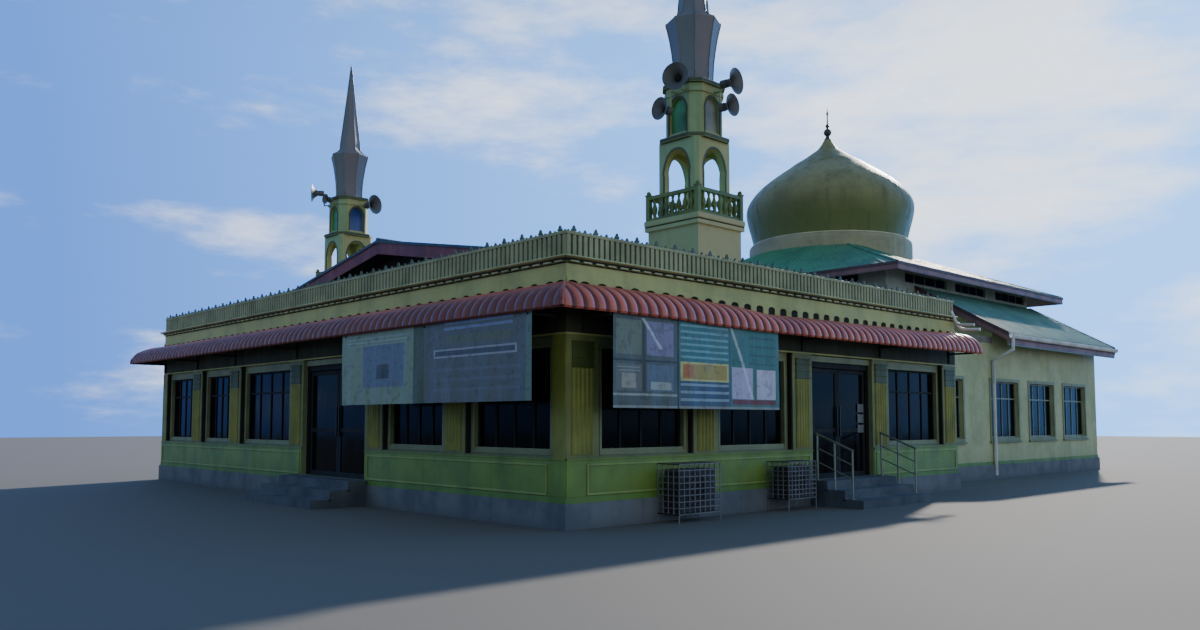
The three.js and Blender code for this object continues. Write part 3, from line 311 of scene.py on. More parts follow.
def dome_finish():
    """Olive dome skin with soft runs, dull patches and a greener skirt."""
    finish = Finish("dome_skin", 0.55, Specular_IOR_Level=0.25)
    patch = finish.noise(0.8, detail=7)
    colour = finish.mix(srgb(138, 134, 92), srgb(108, 108, 72), finish.span(patch, 0.35, 0.7))
    low = finish.math("ADD", finish.axis("Z"), finish.math("MULTIPLY", patch, 0.5))
    colour = finish.mix(colour, srgb(90, 108, 58), finish.span(low, 8.6, 10.0, 0.75, 0.0))
    run = finish.noise(1.4, stretch=(3, 3, 0.25), detail=8, rough=0.7)
    colour = finish.mix(colour, srgb(74, 82, 56), finish.span(run, 0.5, 0.75, 0.0, 0.6))
    fine = finish.noise(22, detail=5)
    colour = finish.mix(colour, srgb(62, 66, 46), finish.span(fine, 0.6, 0.8, 0.0, 0.3))
    finish.colour(colour)
    finish.rough(finish.span(run, 0.35, 0.7, 0.4, 0.65))
    finish.bump([(patch, 0.02), (fine, 0.002)])
    return finish.material


def banner_finish(name, letter, corner, ground, areas, stripes, fold_highlights=()):
    """Printed cloth. letter is the axis along it, and corner is where the facade starts on that axis.

    areas are (start, end, low, high, colour) rectangles, with start and end in metres from the corner. stripes
    add (pitch, share) before the colour, and folds are painted highlights along creases, as (start, height,
    end, height) lines.
    """
    finish = Finish(name, 0.55, Sheen_Weight=0.15)
    along = finish.math("SUBTRACT", finish.axis(letter), corner)
    height = finish.axis("Z")

    def inside(start, end, low, high):
        across = finish.math("COMPARE", along, (start + end) / 2, (end - start) / 2)
        upwards = finish.math("COMPARE", height, (low + high) / 2, (high - low) / 2)
        return finish.math("MULTIPLY", across, upwards)

    colour = ground
    for start, end, low, high, tone in areas:
        colour = finish.mix(colour, tone, inside(start, end, low, high))
    for start, end, low, high, pitch, share, tone in stripes:
        turn = finish.math("FRACT", finish.math("DIVIDE", height, pitch))
        line = finish.math("LESS_THAN", turn, share)
        colour = finish.mix(colour, tone, finish.math("MULTIPLY", line, inside(start, end, low, high)))
    # Painted highlights: a pale line along each fold's crease
    for start, top, end, foot in fold_highlights:
        slope = (end - start) / (foot - top)
        level = finish.math("MULTIPLY", finish.math("SUBTRACT", height, top), slope)
        off = finish.math("ABSOLUTE", finish.math("SUBTRACT", finish.math("SUBTRACT", along, start), level))
        tall = finish.math("COMPARE", height, (top + foot) / 2, (top - foot) / 2)
        crease = finish.math("MULTIPLY", finish.span(off, 0.0, 0.06, 0.65, 0.0), tall)
        colour = finish.mix(colour, srgb(214, 222, 226), crease)
    fade = finish.noise(2.5, detail=5)
    colour = finish.mix(colour, srgb(110, 120, 116), finish.span(fade, 0.45, 0.8, 0.0, 0.3))
    ink = finish.noise(7.0, stretch=(1, 1, 1.4), detail=5, rough=0.7)
    colour = finish.mix(colour, srgb(38, 48, 54), finish.span(ink, 0.52, 0.62, 0.0, 0.35))
    finish.colour(colour)
    weave = finish.noise(260, detail=2)
    finish.bump([(finish.noise(5, stretch=(2, 2, 0.5), detail=3), 0.012), (weave, 0.0006)])
    return finish.material


def side_banner_finish():
    """Three plain panels in a row: four cells, stripes over a yellow field, and two pale fields."""
    slate, pale, lilac = srgb(74, 84, 80), srgb(150, 158, 148), srgb(176, 168, 196)
    areas = [(0.3, 1.80, 1.7, 3.4, slate),
             (0.44, 0.98, 2.60, 3.12, srgb(104, 116, 96)), (1.08, 1.70, 2.60, 3.12, srgb(124, 116, 146)),
             (0.44, 0.98, 2.06, 2.46, srgb(98, 102, 96)), (1.08, 1.70, 2.06, 2.46, srgb(88, 100, 116)),
             (0.56, 0.86, 2.10, 2.32, srgb(150, 148, 134)), (1.16, 1.64, 2.08, 2.20, pale),
             (0.38, 1.78, 1.985, 2.02, pale), (0.38, 1.78, 2.50, 2.53, srgb(30, 36, 36)),
             (0.99, 1.05, 2.04, 3.14, srgb(48, 58, 56)),
             (1.82, 3.06, 1.7, 3.4, srgb(56, 112, 116)), (1.84, 3.05, 1.82, 2.23, srgb(52, 76, 106)),
             (1.86, 3.03, 2.24, 2.54, srgb(196, 190, 120)), (1.90, 2.99, 2.27, 2.51, srgb(164, 148, 66)),
             (1.92, 2.16, 2.29, 2.49, srgb(178, 112, 58)),
             (3.08, 4.6, 1.7, 3.4, srgb(52, 110, 104)), (3.12, 3.70, 1.97, 2.50, lilac),
             (3.80, 4.31, 1.97, 2.48, srgb(190, 186, 206)), (3.12, 4.31, 1.88, 1.96, srgb(112, 38, 46)),
             (0.3, 4.6, 1.7, 1.84, srgb(136, 138, 132)), (1.785, 1.825, 1.7, 3.4, srgb(26, 36, 38))]
    stripes = [(1.86, 3.03, 2.56, 3.3, 0.10, 0.36, srgb(112, 160, 166)),
               (1.86, 3.03, 1.86, 2.20, 0.12, 0.36, srgb(134, 156, 170)),
               (3.6, 4.31, 2.56, 3.3, 0.15, 0.25, srgb(42, 88, 88)),
               (0.48, 0.94, 2.34, 2.45, 0.05, 0.4, srgb(134, 140, 138))]
    # Painted highlights along two creases
    fold_highlights = [(3.08, 3.22, 3.70, 1.97), (1.0, 3.16, 1.42, 2.70)]
    return banner_finish("banner_side", "X", FRONT_X, srgb(44, 60, 62), areas, stripes, fold_highlights)


def front_banner_finish():
    """Two plain halves, a green one and a dark blue one with pale lines."""
    areas = [(3.2, 5.8, 1.7, 3.5, srgb(124, 142, 116)), (3.5, 4.9, 2.2, 2.95, srgb(98, 110, 126)),
             (4.0, 4.4, 2.35, 2.6, srgb(44, 58, 60)), (2.88, 3.2, 1.7, 3.5, srgb(66, 86, 56)),
             (0.1, 2.88, 1.7, 3.5, srgb(92, 96, 96)), (0.4, 2.6, 2.62, 2.76, srgb(150, 152, 160)),
             (0.45, 2.55, 2.65, 2.73, srgb(70, 76, 86)), (-0.1, 0.18, 1.7, 3.5, srgb(96, 122, 112)),
             (0.5, 2.2, 2.84, 2.97, srgb(98, 104, 84))]
    stripes = [(0.5, 2.3, 3.05, 3.22, 0.09, 0.5, srgb(120, 130, 164)),
               (3.4, 5.5, 2.96, 3.1, 0.07, 0.4, srgb(144, 162, 150)),
               (0.3, 2.6, 2.0, 2.5, 0.16, 0.3, srgb(98, 104, 110))]
    return banner_finish("banner_front", "Y", -HALF, srgb(46, 52, 62), areas, stripes)


# Weathered paints: base and shade as screen colours, roughness, and other settings of weathered()
PAINTS = {
    "plinth": ((108, 112, 116), (84, 90, 96), 0.85, dict(foot=(0.02, 0.4, 0.55))),
    "steps": ((84, 90, 98), (62, 68, 76), 0.85, dict(streak=0.2)),
    "nosing": ((96, 102, 110), (76, 82, 90), 0.8, dict(streak=0.2)),
    "floor": ((96, 132, 52), (76, 112, 42), 0.6, {}),
    "wall": ((126, 134, 96), (104, 114, 80), 0.65, {}),
    "margin": ((128, 138, 98), (108, 118, 84), 0.6, dict(foot=(1.0, 1.5, 0.3))),
    "column": ((120, 128, 72), (98, 108, 58), 0.6, dict(foot=(1.0, 1.5, 0.3))),
    "reed": ((130, 134, 52), (104, 110, 40), 0.6, {}),
    "capital": ((72, 84, 30), (52, 64, 22), 0.6, {}),
    "dado": ((112, 142, 52), (88, 118, 42), 0.55, dict(foot=(0.42, 1.0, 0.35))),
    "dado_line": ((138, 160, 80), (112, 136, 66), 0.55, {}),
    "fascia": ((178, 180, 108), (154, 160, 96), 0.65, dict(streak=0.35)),
    "cresting": ((156, 158, 118), (126, 130, 92), 0.7, dict(streak=0.4)),
    "crest_shade": ((78, 84, 58), (58, 64, 44), 0.8, {}),
    # Painted shade: the tips are the cresting's pale colour, and this darker green stands for their back-lit
    # shade
    "tip": ((84, 98, 76), (58, 74, 60), 0.6, {}),
    "cornice": ((178, 182, 134), (144, 152, 106), 0.7, dict(streak=0.45)),
    "shadow": ((40, 40, 36), (28, 28, 26), 0.85, {}),
    "shade": ((58, 62, 38), (40, 44, 28), 0.8, {}),
    # Painted shadow: a near-black that stands for the shade inside gaps, recesses and horn mouths
    "gap_shadow": ((34, 30, 26), (20, 18, 16), 0.9, {}),
    "rake_board": ((122, 54, 60), (90, 38, 46), 0.6, {}),
    "rake_cap": ((34, 48, 60), (24, 34, 44), 0.5, {}),
    # Painted shadow: near-black for the shade in the gable recess under the boards
    "gable": ((34, 24, 24), (24, 18, 18), 0.85, {}),
    "board": ((132, 98, 98), (100, 72, 76), 0.6, dict(streak=0.4)),
    "board_dark": ((84, 62, 68), (60, 44, 50), 0.6, dict(streak=0.4)),
    "gutter": ((214, 216, 212), (180, 184, 182), 0.45, dict(streak=0.4)),
    "deck": ((132, 132, 126), (98, 100, 94), 0.9, {}),
    "hall": ((178, 184, 134), (154, 162, 114), 0.7, dict(foot=(0.45, 1.1, 0.3))),
    "plaster": ((170, 176, 164), (148, 156, 144), 0.8, {}),
    "drum": ((156, 152, 118), (134, 132, 100), 0.65, dict(streak=0.4)),
    "lip": ((206, 198, 160), (176, 170, 136), 0.55, dict(streak=0.3)),
    "green": ((98, 120, 62), (72, 92, 46), 0.6, {}),
    "cornice_dark": ((76, 88, 60), (54, 64, 44), 0.65, {}),
    "niche_green": ((60, 160, 90), (38, 116, 62), 0.3, {}),
    "niche_beige": ((150, 146, 126), (118, 116, 98), 0.5, {}),
    # Painted shade: dark blue for the left minaret's side niches
    "niche_shade_blue": ((52, 80, 150), (36, 58, 116), 0.3, {}),
    "spire_seam": ((118, 122, 124), (92, 96, 100), 0.42, dict(metallic=0.3)),
    "horn": ((92, 94, 92), (70, 72, 72), 0.5, dict(streak=0.25)),
    "finial": ((88, 86, 70), (64, 62, 50), 0.5, dict(metallic=0.4)),
    "frame": ((132, 138, 118), (108, 114, 96), 0.5, {}),
    "dark_frame": ((13, 15, 15), (9, 11, 11), 0.8, {}),
    "steel": ((136, 142, 132), (112, 118, 110), 0.4, dict(metallic=0.5, streak=0.15)),
    "pull": ((52, 54, 54), (38, 40, 40), 0.4, dict(metallic=0.6)),
    "notice": ((112, 112, 112), (92, 94, 96), 0.6, dict(streak=0.2)),
    "cage": ((136, 132, 132), (104, 102, 102), 0.5, dict(metallic=0.2)),
    "condenser": ((44, 44, 50), (30, 30, 36), 0.6, {}),
}
FINISHES = {
    # The canopy's dark front tone is painted shade on the front-facing sheet
    "canopy": sheet_metal("canopy", srgb(208, 104, 76), srgb(164, 74, 58), 0.4,
                          front=srgb(92, 42, 38), coat=0.15),
    "maroon": sheet_metal("maroon", srgb(84, 34, 42), srgb(58, 24, 32), 0.5),
    # The teal sheets' dark under tones are painted shade on their undersides
    "teal": sheet_metal("teal", srgb(68, 142, 106), srgb(46, 108, 86), 0.45, under=srgb(44, 38, 40)),
    "teal_blue": sheet_metal("teal_blue", srgb(112, 160, 148), srgb(90, 134, 128), 0.45,
                             under=srgb(44, 38, 40)),
    "dome": dome_finish(),
    # Minaret, base and spire: the first tone is a painted cool shade on faces turned along X, and the second a
    # painted warm bounce light on the others
    "minaret": shaded_by_facing("minaret", srgb(136, 168, 124), srgb(172, 170, 108), srgb(118, 128, 84),
                         srgb(70, 80, 50)),
    "base": shaded_by_facing("base", srgb(150, 168, 122), srgb(172, 162, 112), srgb(122, 128, 92), srgb(78, 86, 60)),
    "spire": shaded_by_facing("spire", srgb(104, 112, 116), srgb(116, 108, 112), srgb(96, 98, 100),
                       srgb(66, 70, 76), 0.55),
    "glass": glass_finish("glass", srgb(4, 6, 9)),
    "navy": glass_finish("navy", srgb(20, 26, 52)),
    "banner_side": side_banner_finish(),
    "banner_front": front_banner_finish(),
}
for paint, (base_tone, shade_tone, gloss, settings) in PAINTS.items():
    FINISHES[paint] = weathered(paint, srgb(*base_tone), srgb(*shade_tone), gloss, **settings)


# Shapes

class Shape:
    """Corners and faces of one piece. place maps a facade's (along, out, up) to the frame."""

    def __init__(self, place=None):
        self.corners = []
        self.faces = []
        self.place = place or (lambda x, y, z: (x, y, z))

    def add(self, corners, faces):
        start = len(self.corners)
        self.corners += [self.place(*corner) for corner in corners]
        self.faces += [[start + i for i in face] for face in faces]

    def box(self, u0, u1, v0, v1, z0, z1):
        corners = [(u, v, z) for z in (z0, z1) for v in (v0, v1) for u in (u0, u1)]
        self.add(corners, [(0, 1, 3, 2), (4, 6, 7, 5), (0, 4, 5, 1), (2, 3, 7, 6), (0, 2, 6, 4), (1, 5, 7, 3)])

    def plate(self, outline, near, far):
        """An outline of (along, up) points, thick from near to far."""
        count = len(outline)
        corners = [(u, near, z) for u, z in outline] + [(u, far, z) for u, z in outline]
        sides = [(i, (i + 1) % count, count + (i + 1) % count, count + i) for i in range(count)]
        self.add(corners, [range(count), range(count, 2 * count), *sides])

    def rows(self, rows, closed=False, caps=False, wrap=False):
        """Faces between rows of equal length; closed rows close on themselves, wrap joins last to first."""
        count = len(rows[0])
        faces = []
        for r in range(len(rows) if wrap else len(rows) - 1):
            low, high = r * count, (r + 1) % len(rows) * count
            for i in range(count if closed else count - 1):
                j = (i + 1) % count
                faces.append((low + i, low + j, high + j, high + i))
        if caps:
            last = (len(rows) - 1) * count
            faces += [range(count), range(last, last + count)]
        self.add([corner for row in rows for corner in row], faces)

    def stack(self, polygon, profile, centre):
        """A solid of polygon outlines at (half width, height) steps."""
        cx, cy = centre
        self.rows([[(cx + x, cy + y, z) for x, y in polygon(half)] for half, z in profile], True, True)

    def tube(self, path, radius, sides=10):
        points = [Vector(p) for p in path]
        rows = []
        for i, point in enumerate(points):
            ahead = points[min(i + 1, len(points) - 1)] - points[max(i - 1, 0)]
            side = ahead.cross(Vector((0, 0, 1)))
            if side.length < 1e-6:
                side = Vector((1, 0, 0))
            side.normalize()
            up = side.cross(ahead).normalized()
            rows.append([tuple(point + radius * (math.cos(t) * side + math.sin(t) * up))
                         for t in (2 * math.pi * k / sides for k in range(sides))])
        self.rows(rows, True, True)


def circle(sides, turn=0.0):
    """Polygon maker for a round or a regular outline."""
    steps = [turn + 2 * math.pi * i / sides for i in range(sides)]
    return lambda radius: [(radius * math.cos(t), radius * math.sin(t)) for t in steps]


def square(half):
    return [(-half, -half), (half, -half), (half, half), (-half, half)]


def chamfered(cut):
    def outline(half):
        k = half - cut
        return [(k, -half), (half, -k), (half, k), (k, half), (-k, half), (-half, k), (-half, -k), (-k, -half)]
    return outline


def piece(name, shape, finish, body=ROOT, bevel=0.0, crease=32, replaces=()):
    """Makes one piece of the shape, in its finish, riding on a body."""
    mesh = bpy.data.meshes.new(name)
    mesh.from_pydata(shape.corners, [], [list(face) for face in shape.faces])
    edit = bmesh.new()
    edit.from_mesh(mesh)
    bmesh.ops.recalc_face_normals(edit, faces=edit.faces)
    edit.to_mesh(mesh)
    edit.free()
    mesh.materials.append(FINISHES[finish] if isinstance(finish, str) else finish)
    for polygon in mesh.polygons:
        polygon.use_smooth = True
    mesh.set_sharp_from_angle(angle=math.radians(crease))
    thing = bpy.data.objects.new(name, mesh)
    bpy.context.scene.collection.objects.link(thing)
    if bevel:
        rounding = thing.modifiers.new("Bevel", "BEVEL")
        rounding.width = bevel
        rounding.segments = 1
        rounding.angle_limit = math.radians(40)
        rounding.harden_normals = True
    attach(thing, body)
    if replaces:
        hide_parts(*replaces)
    return thing


def right_face(u, out, z):
    return FRONT_X + u, -HALF - out, z


def left_face(u, out, z):
    return FRONT_X + u, HALF + out, z


def front_face(u, out, z):
    return FRONT_X - out, -HALF + u, z


def reach_along(node, facade):
    """Start and end of a node along the front facade or along a side facade."""
    low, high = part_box(node)
    if facade == "front":
        return low.y + HALF, high.y + HALF
    return low.x - FRONT_X, high.x - FRONT_X


def long_wall(side, face):
    """Placement on a wall along the building: side is -1 for the right one and 1 for the left one."""
    return lambda u, out, z: (u, side * (face + out), z)


def cross_wall(side, face):
    """Placement on a wall across the building: side is -1 where it faces forwards and 1 backwards."""
    return lambda u, out, z: (face + side * out, u, z)


FACADES = {
    "right": (right_face, BLOCK, SIDE_POSTS, SIDE_DOOR_BAY),
    "front": (front_face, WIDTH, FRONT_POSTS, FRONT_DOOR_BAY),
    "left": (left_face, BLOCK, SIDE_POSTS, None),
}


def bays(posts):
    """Clear openings between the posts of a facade."""
    return [(a[1], b[0]) for a, b in zip(posts, posts[1:])]


def section(near, far, low, high):
    """A rectangular section of (out, up) points."""
    return (near, low), (far, low), (far, high), (near, high)


def round_three_sides(shape, profile):
    """A closed section of (out, up) points carried round the right, front and left facades."""
    def station(k, out, z):
        x = REAR_X if k in (0, 3) else FRONT_X - out
        return x, (-HALF - out if k < 2 else HALF + out), z
    shape.rows([[station(k, out, z) for out, z in profile] for k in range(4)], True, True)


# Parapet and cresting

LEDGE_TOP = 4.08
BEAM_TOP = 3.99
BEAM_THICKNESS = 0.25
RETURN_THICKNESS = 0.2
CORNICE_SECTION = ((0.0, 4.035), (0.07, 4.04), (0.10, 4.05), (0.11, 4.06), (0.11, LEDGE_TOP - 0.008),
                   (0.10, LEDGE_TOP), (-BEAM_THICKNESS, LEDGE_TOP), (-BEAM_THICKNESS, BEAM_TOP),
                   (0.0, BEAM_TOP))
LINE_SECTIONS = (section(-0.002, 0.014, 3.965, 3.98),
                 ((-0.002, 4.005), (0.04, 4.005), (0.05, 4.037), (-0.002, 4.037)))
DENTIL_PITCH = 0.26
DENTIL_WIDTH = 0.17
DENTIL_REACH = 0.06
DENTIL_HEIGHTS = (3.984, 4.010)
SLAT_PITCH = 0.115
SLAT_WIDTH = 0.076
SLAT_THICKNESS = 0.036
SLAT_TOP = 4.41
RAIL_TOP = 4.46
TIP_HEIGHTS = (0.115, 0.07)
SMALL_TIP = 0.045
TIP_EDGE = ((0.35, 0.0), (0.3, 0.18), (1.0, 0.3), (0.92, 0.48), (0.5, 0.56), (0.42, 0.75))


def parapets():
    beam, cornice, lines, dentils, backs = (Shape() for _ in range(5))
    round_three_sides(beam, section(0.0, -BEAM_THICKNESS, BEAM_FOOT, BEAM_TOP))
    for side in (-1, 1):
        beam.box(REAR_X - RETURN_THICKNESS, REAR_X, side * (HALF - BEAM_THICKNESS), side * HALL_HALF,
                 BEAM_FOOT, LEDGE_TOP)
    piece("parapet_beam", beam, "fascia", bevel=0.006,
          replaces=("parapet_right", "parapet_front", "parapet_left"))
    round_three_sides(cornice, CORNICE_SECTION)
    piece("cornice", cornice, "cornice")
    for line in LINE_SECTIONS:
        round_three_sides(lines, line)
    piece("cornice_lines", lines, "shadow")
    round_three_sides(backs, section(-0.035, -0.055, LEDGE_TOP - 0.01, SLAT_TOP))
    piece("cresting_back", backs, "crest_shade")
    for name, (place, length, _posts, _door) in FACADES.items():
        dentils.place = place
        count = round(length / DENTIL_PITCH)
        for i in range(count):
            start = (i + 0.17) * length / count
            dentils.box(start, start + DENTIL_WIDTH, 0.0, DENTIL_REACH, *DENTIL_HEIGHTS)
        cresting(name, place, length)
    piece("dentils", dentils, "cornice", bevel=0.004)


def cresting(name, place, length):
    """Slats under a rail, which carries small points and larger ones of two heights in turn."""
    crest, tips = Shape(place), Shape(place)
    count = round(length / SLAT_PITCH / 4) * 4
    for i in range(count):
        mid = (i + 0.5) * length / count
        crest.box(mid - SLAT_WIDTH / 2, mid + SLAT_WIDTH / 2, -SLAT_THICKNESS, 0.0, LEDGE_TOP - 0.005,
                  SLAT_TOP + 0.01)
        tip(tips, mid, RAIL_TOP - 0.02, TIP_HEIGHTS[i // 2 % 2] if i % 2 else SMALL_TIP)
    crest.box(0.0, length, -0.056, 0.008, SLAT_TOP, RAIL_TOP)
    piece(f"cresting_{name}", crest, "cresting", bevel=0.005)
    # The tips' darker finish is painted shade
    piece(f"cresting_tips_{name}", tips, "tip")


def tip(shape, mid, low, height):
    """A flat lily-shaped point that stands on the cresting's rail."""
    half = 0.36 * height + 0.006
    edge = [(mid + half * u, low + height * z) for u, z in TIP_EDGE]
    edge += [(mid, low + height)]
    edge += [(mid - half * u, low + height * z) for u, z in reversed(TIP_EDGE)]
    shape.plate(edge, -0.04, -0.008)


# Canopies

CANOPY_REACH = -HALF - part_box("canopy_right")[0].y
ROLL_PITCH = 0.22
ROLL_RISE = 0.055
CANOPY_STEPS = 16
SAMPLES_PER_ROLL = 10
PURLIN_INSET = 0.06
PURLIN_STEPS = 24
ARM_HEIGHTS = (3.15, 3.19)
ARM_PLATE_HEIGHTS = (2.95, 3.45)

# Where the sheet meets the beam and where it ends, by distance along the door side: it sags in the middle
HEAD_LINE = ((-1.0, 3.63), (2.0, 3.63), (3.4, 3.60), (4.7, 3.52), (6.8, 3.55), (9.2, 3.57), (12.3, 3.64))
EDGE_LINE = ((-1.0, 3.22), (1.4, 3.22), (2.8, 3.185), (3.9, 3.17), (6.2, 3.165), (8.7, 3.17), (12.3, 3.19))


def along_line(line, u):
    """Height on a line of (along, height) points, eased between them."""
    for (u0, z0), (u1, z1) in zip(line, line[1:]):
        if u <= u1:
            t = min(1.0, max(0.0, (u - u0) / (u1 - u0)))
            return z0 + (z1 - z0) * t * t * (3 - 2 * t)
    return line[-1][1]


def canopy_point(turn, lift, head, edge):
    """(out, up) on the bull-nose at a turn from 0 at the head to 1 at the edge, lifted along its normal."""
    t = turn * math.pi / 2
    rise = head - edge
    reach = CANOPY_REACH - ROLL_RISE
    out, up = reach * math.sin(t), edge + rise * math.cos(t)
    normal = Vector((rise * math.sin(t), reach * math.cos(t))).normalized()
    return max(0.004, out + lift * normal.x), up + lift * normal.y


def canopy_rows(length, head, foot, both):
    """Rows of (along, out, up) points of a rolled sheet, mitred at its front ends."""
    step = ROLL_PITCH / SAMPLES_PER_ROLL
    first = -math.floor(CANOPY_REACH / step)
    last = math.floor((length + (CANOPY_REACH if both else 0)) / step)
    rows = [[] for _ in range(CANOPY_STEPS + 1)]
    for k in range(first, last + 1):
        u = k * step
        past = max(-u, u - length if both else 0.0, 0.0)
        first_turn = math.asin(min(1.0, past / CANOPY_REACH)) * 2 / math.pi
        roll = abs(math.sin(math.pi * k / SAMPLES_PER_ROLL)) ** 0.7
        for i, row in enumerate(rows):
            turn = first_turn + (1 - first_turn) * i / CANOPY_STEPS
            lift = ROLL_RISE * roll * (0.6 + 0.4 * turn)
            row.append((u, *canopy_point(turn, lift, along_line(head, u), along_line(foot, u))))
    return rows


def canopies():
    purlins, arms, hips = Shape(), Shape(), Shape()
    reach = CANOPY_REACH - PURLIN_INSET
    for name, (place, length, posts, _door) in FACADES.items():
        head, foot = (HEAD_LINE, EDGE_LINE) if name == "right" else (HEAD_LINE[:1], EDGE_LINE[:1])
        rows = canopy_rows(length, head, foot, name == "front")
        under = [[(u, max(0.002, out - 0.02), up - 0.03) for u, out, up in row] for row in rows]
        sheet, lining = Shape(place), Shape(place)
        sheet.rows(rows)
        sheet.rows([rows[-1], under[-1]])
        lining.rows(under)
        piece(f"canopy_{name}_sheet", sheet, "canopy", crease=38, replaces=(f"canopy_{name}",))
        piece(f"canopy_{name}_lining", lining, "shadow")
        purlins.place = arms.place = place
        spots = [length * k / PURLIN_STEPS for k in range(PURLIN_STEPS + 1)]
        purlins.rows([[(u, reach - a, along_line(foot, u) - 0.02 + b) for a, b in section(0, 0.03, 0, 0.05)]
                      for u in spots], True, True)
        for left, right in posts:
            mid = (left + right) / 2
            arms.box(mid - 0.02, mid + 0.02, 0.0, reach - 0.02, *ARM_HEIGHTS)
            arms.box(mid - 0.02, mid + 0.02, 0.0, 0.04, *ARM_PLATE_HEIGHTS)
    for side in (-1, 1):
        path = []
        for i in range(CANOPY_STEPS + 1):
            out, up = canopy_point(i / CANOPY_STEPS, 0.012, HEAD_LINE[0][1], EDGE_LINE[0][1])
            path.append((FRONT_X - out, side * (HALF + out), up))
        hips.tube(path, 0.035, 10)
    piece("canopy_hips", hips, "canopy")
    piece("canopy_purlins", purlins, "shadow")
    piece("canopy_arms", arms, "shadow")


# Toothed strip over the canopy, with a row of dark rounded gaps: a near-black sheet behind the strip is painted
# shadow in them

NOTCH_PITCH = 0.36
NOTCH_WIDTH = 0.205
STRIP_FOOT = 3.50
STRIP_TOP = 3.76
NOTCH_TOP = 3.715
NOTCH_ROUND = 0.05
BEAM_SHADE_FOOT = 2.93


def head_strip():
    strip, dark = Shape(), Shape()
    for place, length, _posts, _door in FACADES.values():
        strip.place = dark.place = place
        count = round(length / NOTCH_PITCH)
        pitch, half = length / count, NOTCH_WIDTH / 2
        # Painted shadow: a near-black sheet behind the notches
        dark.box(0.0, length, -0.01, 0.004, STRIP_FOOT, NOTCH_TOP)
        for i in range(count + 1):
            left, right = max(0.0, (i - 0.5) * pitch), min(length, (i + 0.5) * pitch)
            mid = min(max(half + 0.01, i * pitch), length - half - 0.01)
            arch = [(mid + half * math.cos(t), NOTCH_TOP - NOTCH_ROUND * (1 - math.sin(t)))
                    for t in (math.pi * k / 8 for k in range(9))]
            strip.plate([(left, STRIP_FOOT), (left, STRIP_TOP), (right, STRIP_TOP), (right, STRIP_FOOT),
                         (mid + half, STRIP_FOOT), *arch, (mid - half, STRIP_FOOT)], 0.001, 0.024)
    piece("head_strip", strip, "fascia")
    piece("head_strip_dark", dark, "gap_shadow")
    shade = Shape()
    round_three_sides(shade, section(-0.01, 0.006, BEAM_SHADE_FOOT, STRIP_FOOT))
    piece("beam_shade", shade, "shade")


# Columns, dado and windows of the front block

REED_FOOT = 1.10
REED_TOP = 2.41
PANEL_TOP = 2.81
PANEL_LINES = (REED_TOP, 2.55, 2.68, PANEL_TOP - 0.035)
LINE_HEIGHT = 0.035
HEAD_BAND_FOOT = 2.85
MARGIN_WIDTH = 0.105
MARGIN_REACH = 0.010
NARROW_POST = 0.5
GROOVES = 4


def pilasters():
    margins, reeds, panels = Shape(), Shape(), Shape()
    for place, _length, posts, _door in FACADES.values():
        margins.place = reeds.place = panels.place = place
        for left, right in posts:
            if right - left < NARROW_POST:
                reeds.box(left, right, 0.0, 0.012, DADO_TOP, BEAM_FOOT)
                continue
            start, end = left + MARGIN_WIDTH, right - MARGIN_WIDTH
            margins.box(left, right, 0.0, MARGIN_REACH, DADO_TOP, BEAM_FOOT)
            margins.box(left, right, MARGIN_REACH, 0.022, HEAD_BAND_FOOT, BEAM_FOOT)
            reeds.box(start, end, MARGIN_REACH, 0.024, REED_FOOT, REED_TOP)
            step = (end - start) / (GROOVES + 1)
            for i in range(GROOVES + 1):
                reed = [(start + step * (i + 0.12 + 0.76 * k / 6), 0.023 + 0.02 * math.sin(math.pi * k / 6))
                        for k in range(7)]
                reeds.rows([[(*point, z) for point in reed] for z in (REED_FOOT + 0.02, REED_TOP - 0.02)])
            panels.box(start, end, MARGIN_REACH, 0.030, REED_TOP, PANEL_TOP)
            for z in PANEL_LINES:
                panels.box(start - 0.01, end + 0.01, 0.030, 0.042, z, z + LINE_HEIGHT)
    piece("pilaster_margins", margins, "column", bevel=0.004)
    piece("pilaster_reeds", reeds, "reed")
    piece("pilaster_panels", panels, "capital", bevel=0.004)


def frame_border(shape, u0, u1, z0, z1, width, near, far):
    """Four bars round a rectangle."""
    shape.box(u0, u1, near, far, z0, z0 + width)
    shape.box(u0, u1, near, far, z1 - width, z1)
    shape.box(u0, u0 + width, near, far, z0 + width, z1 - width)
    shape.box(u1 - width, u1, near, far, z0 + width, z1 - width)


MOULDING_HEIGHTS = (0.495, 0.965)
DOOR_CLEAR = 0.02
DOOR_HEAD_BAND = (2.77, 2.885)
SURROUND = 0.045


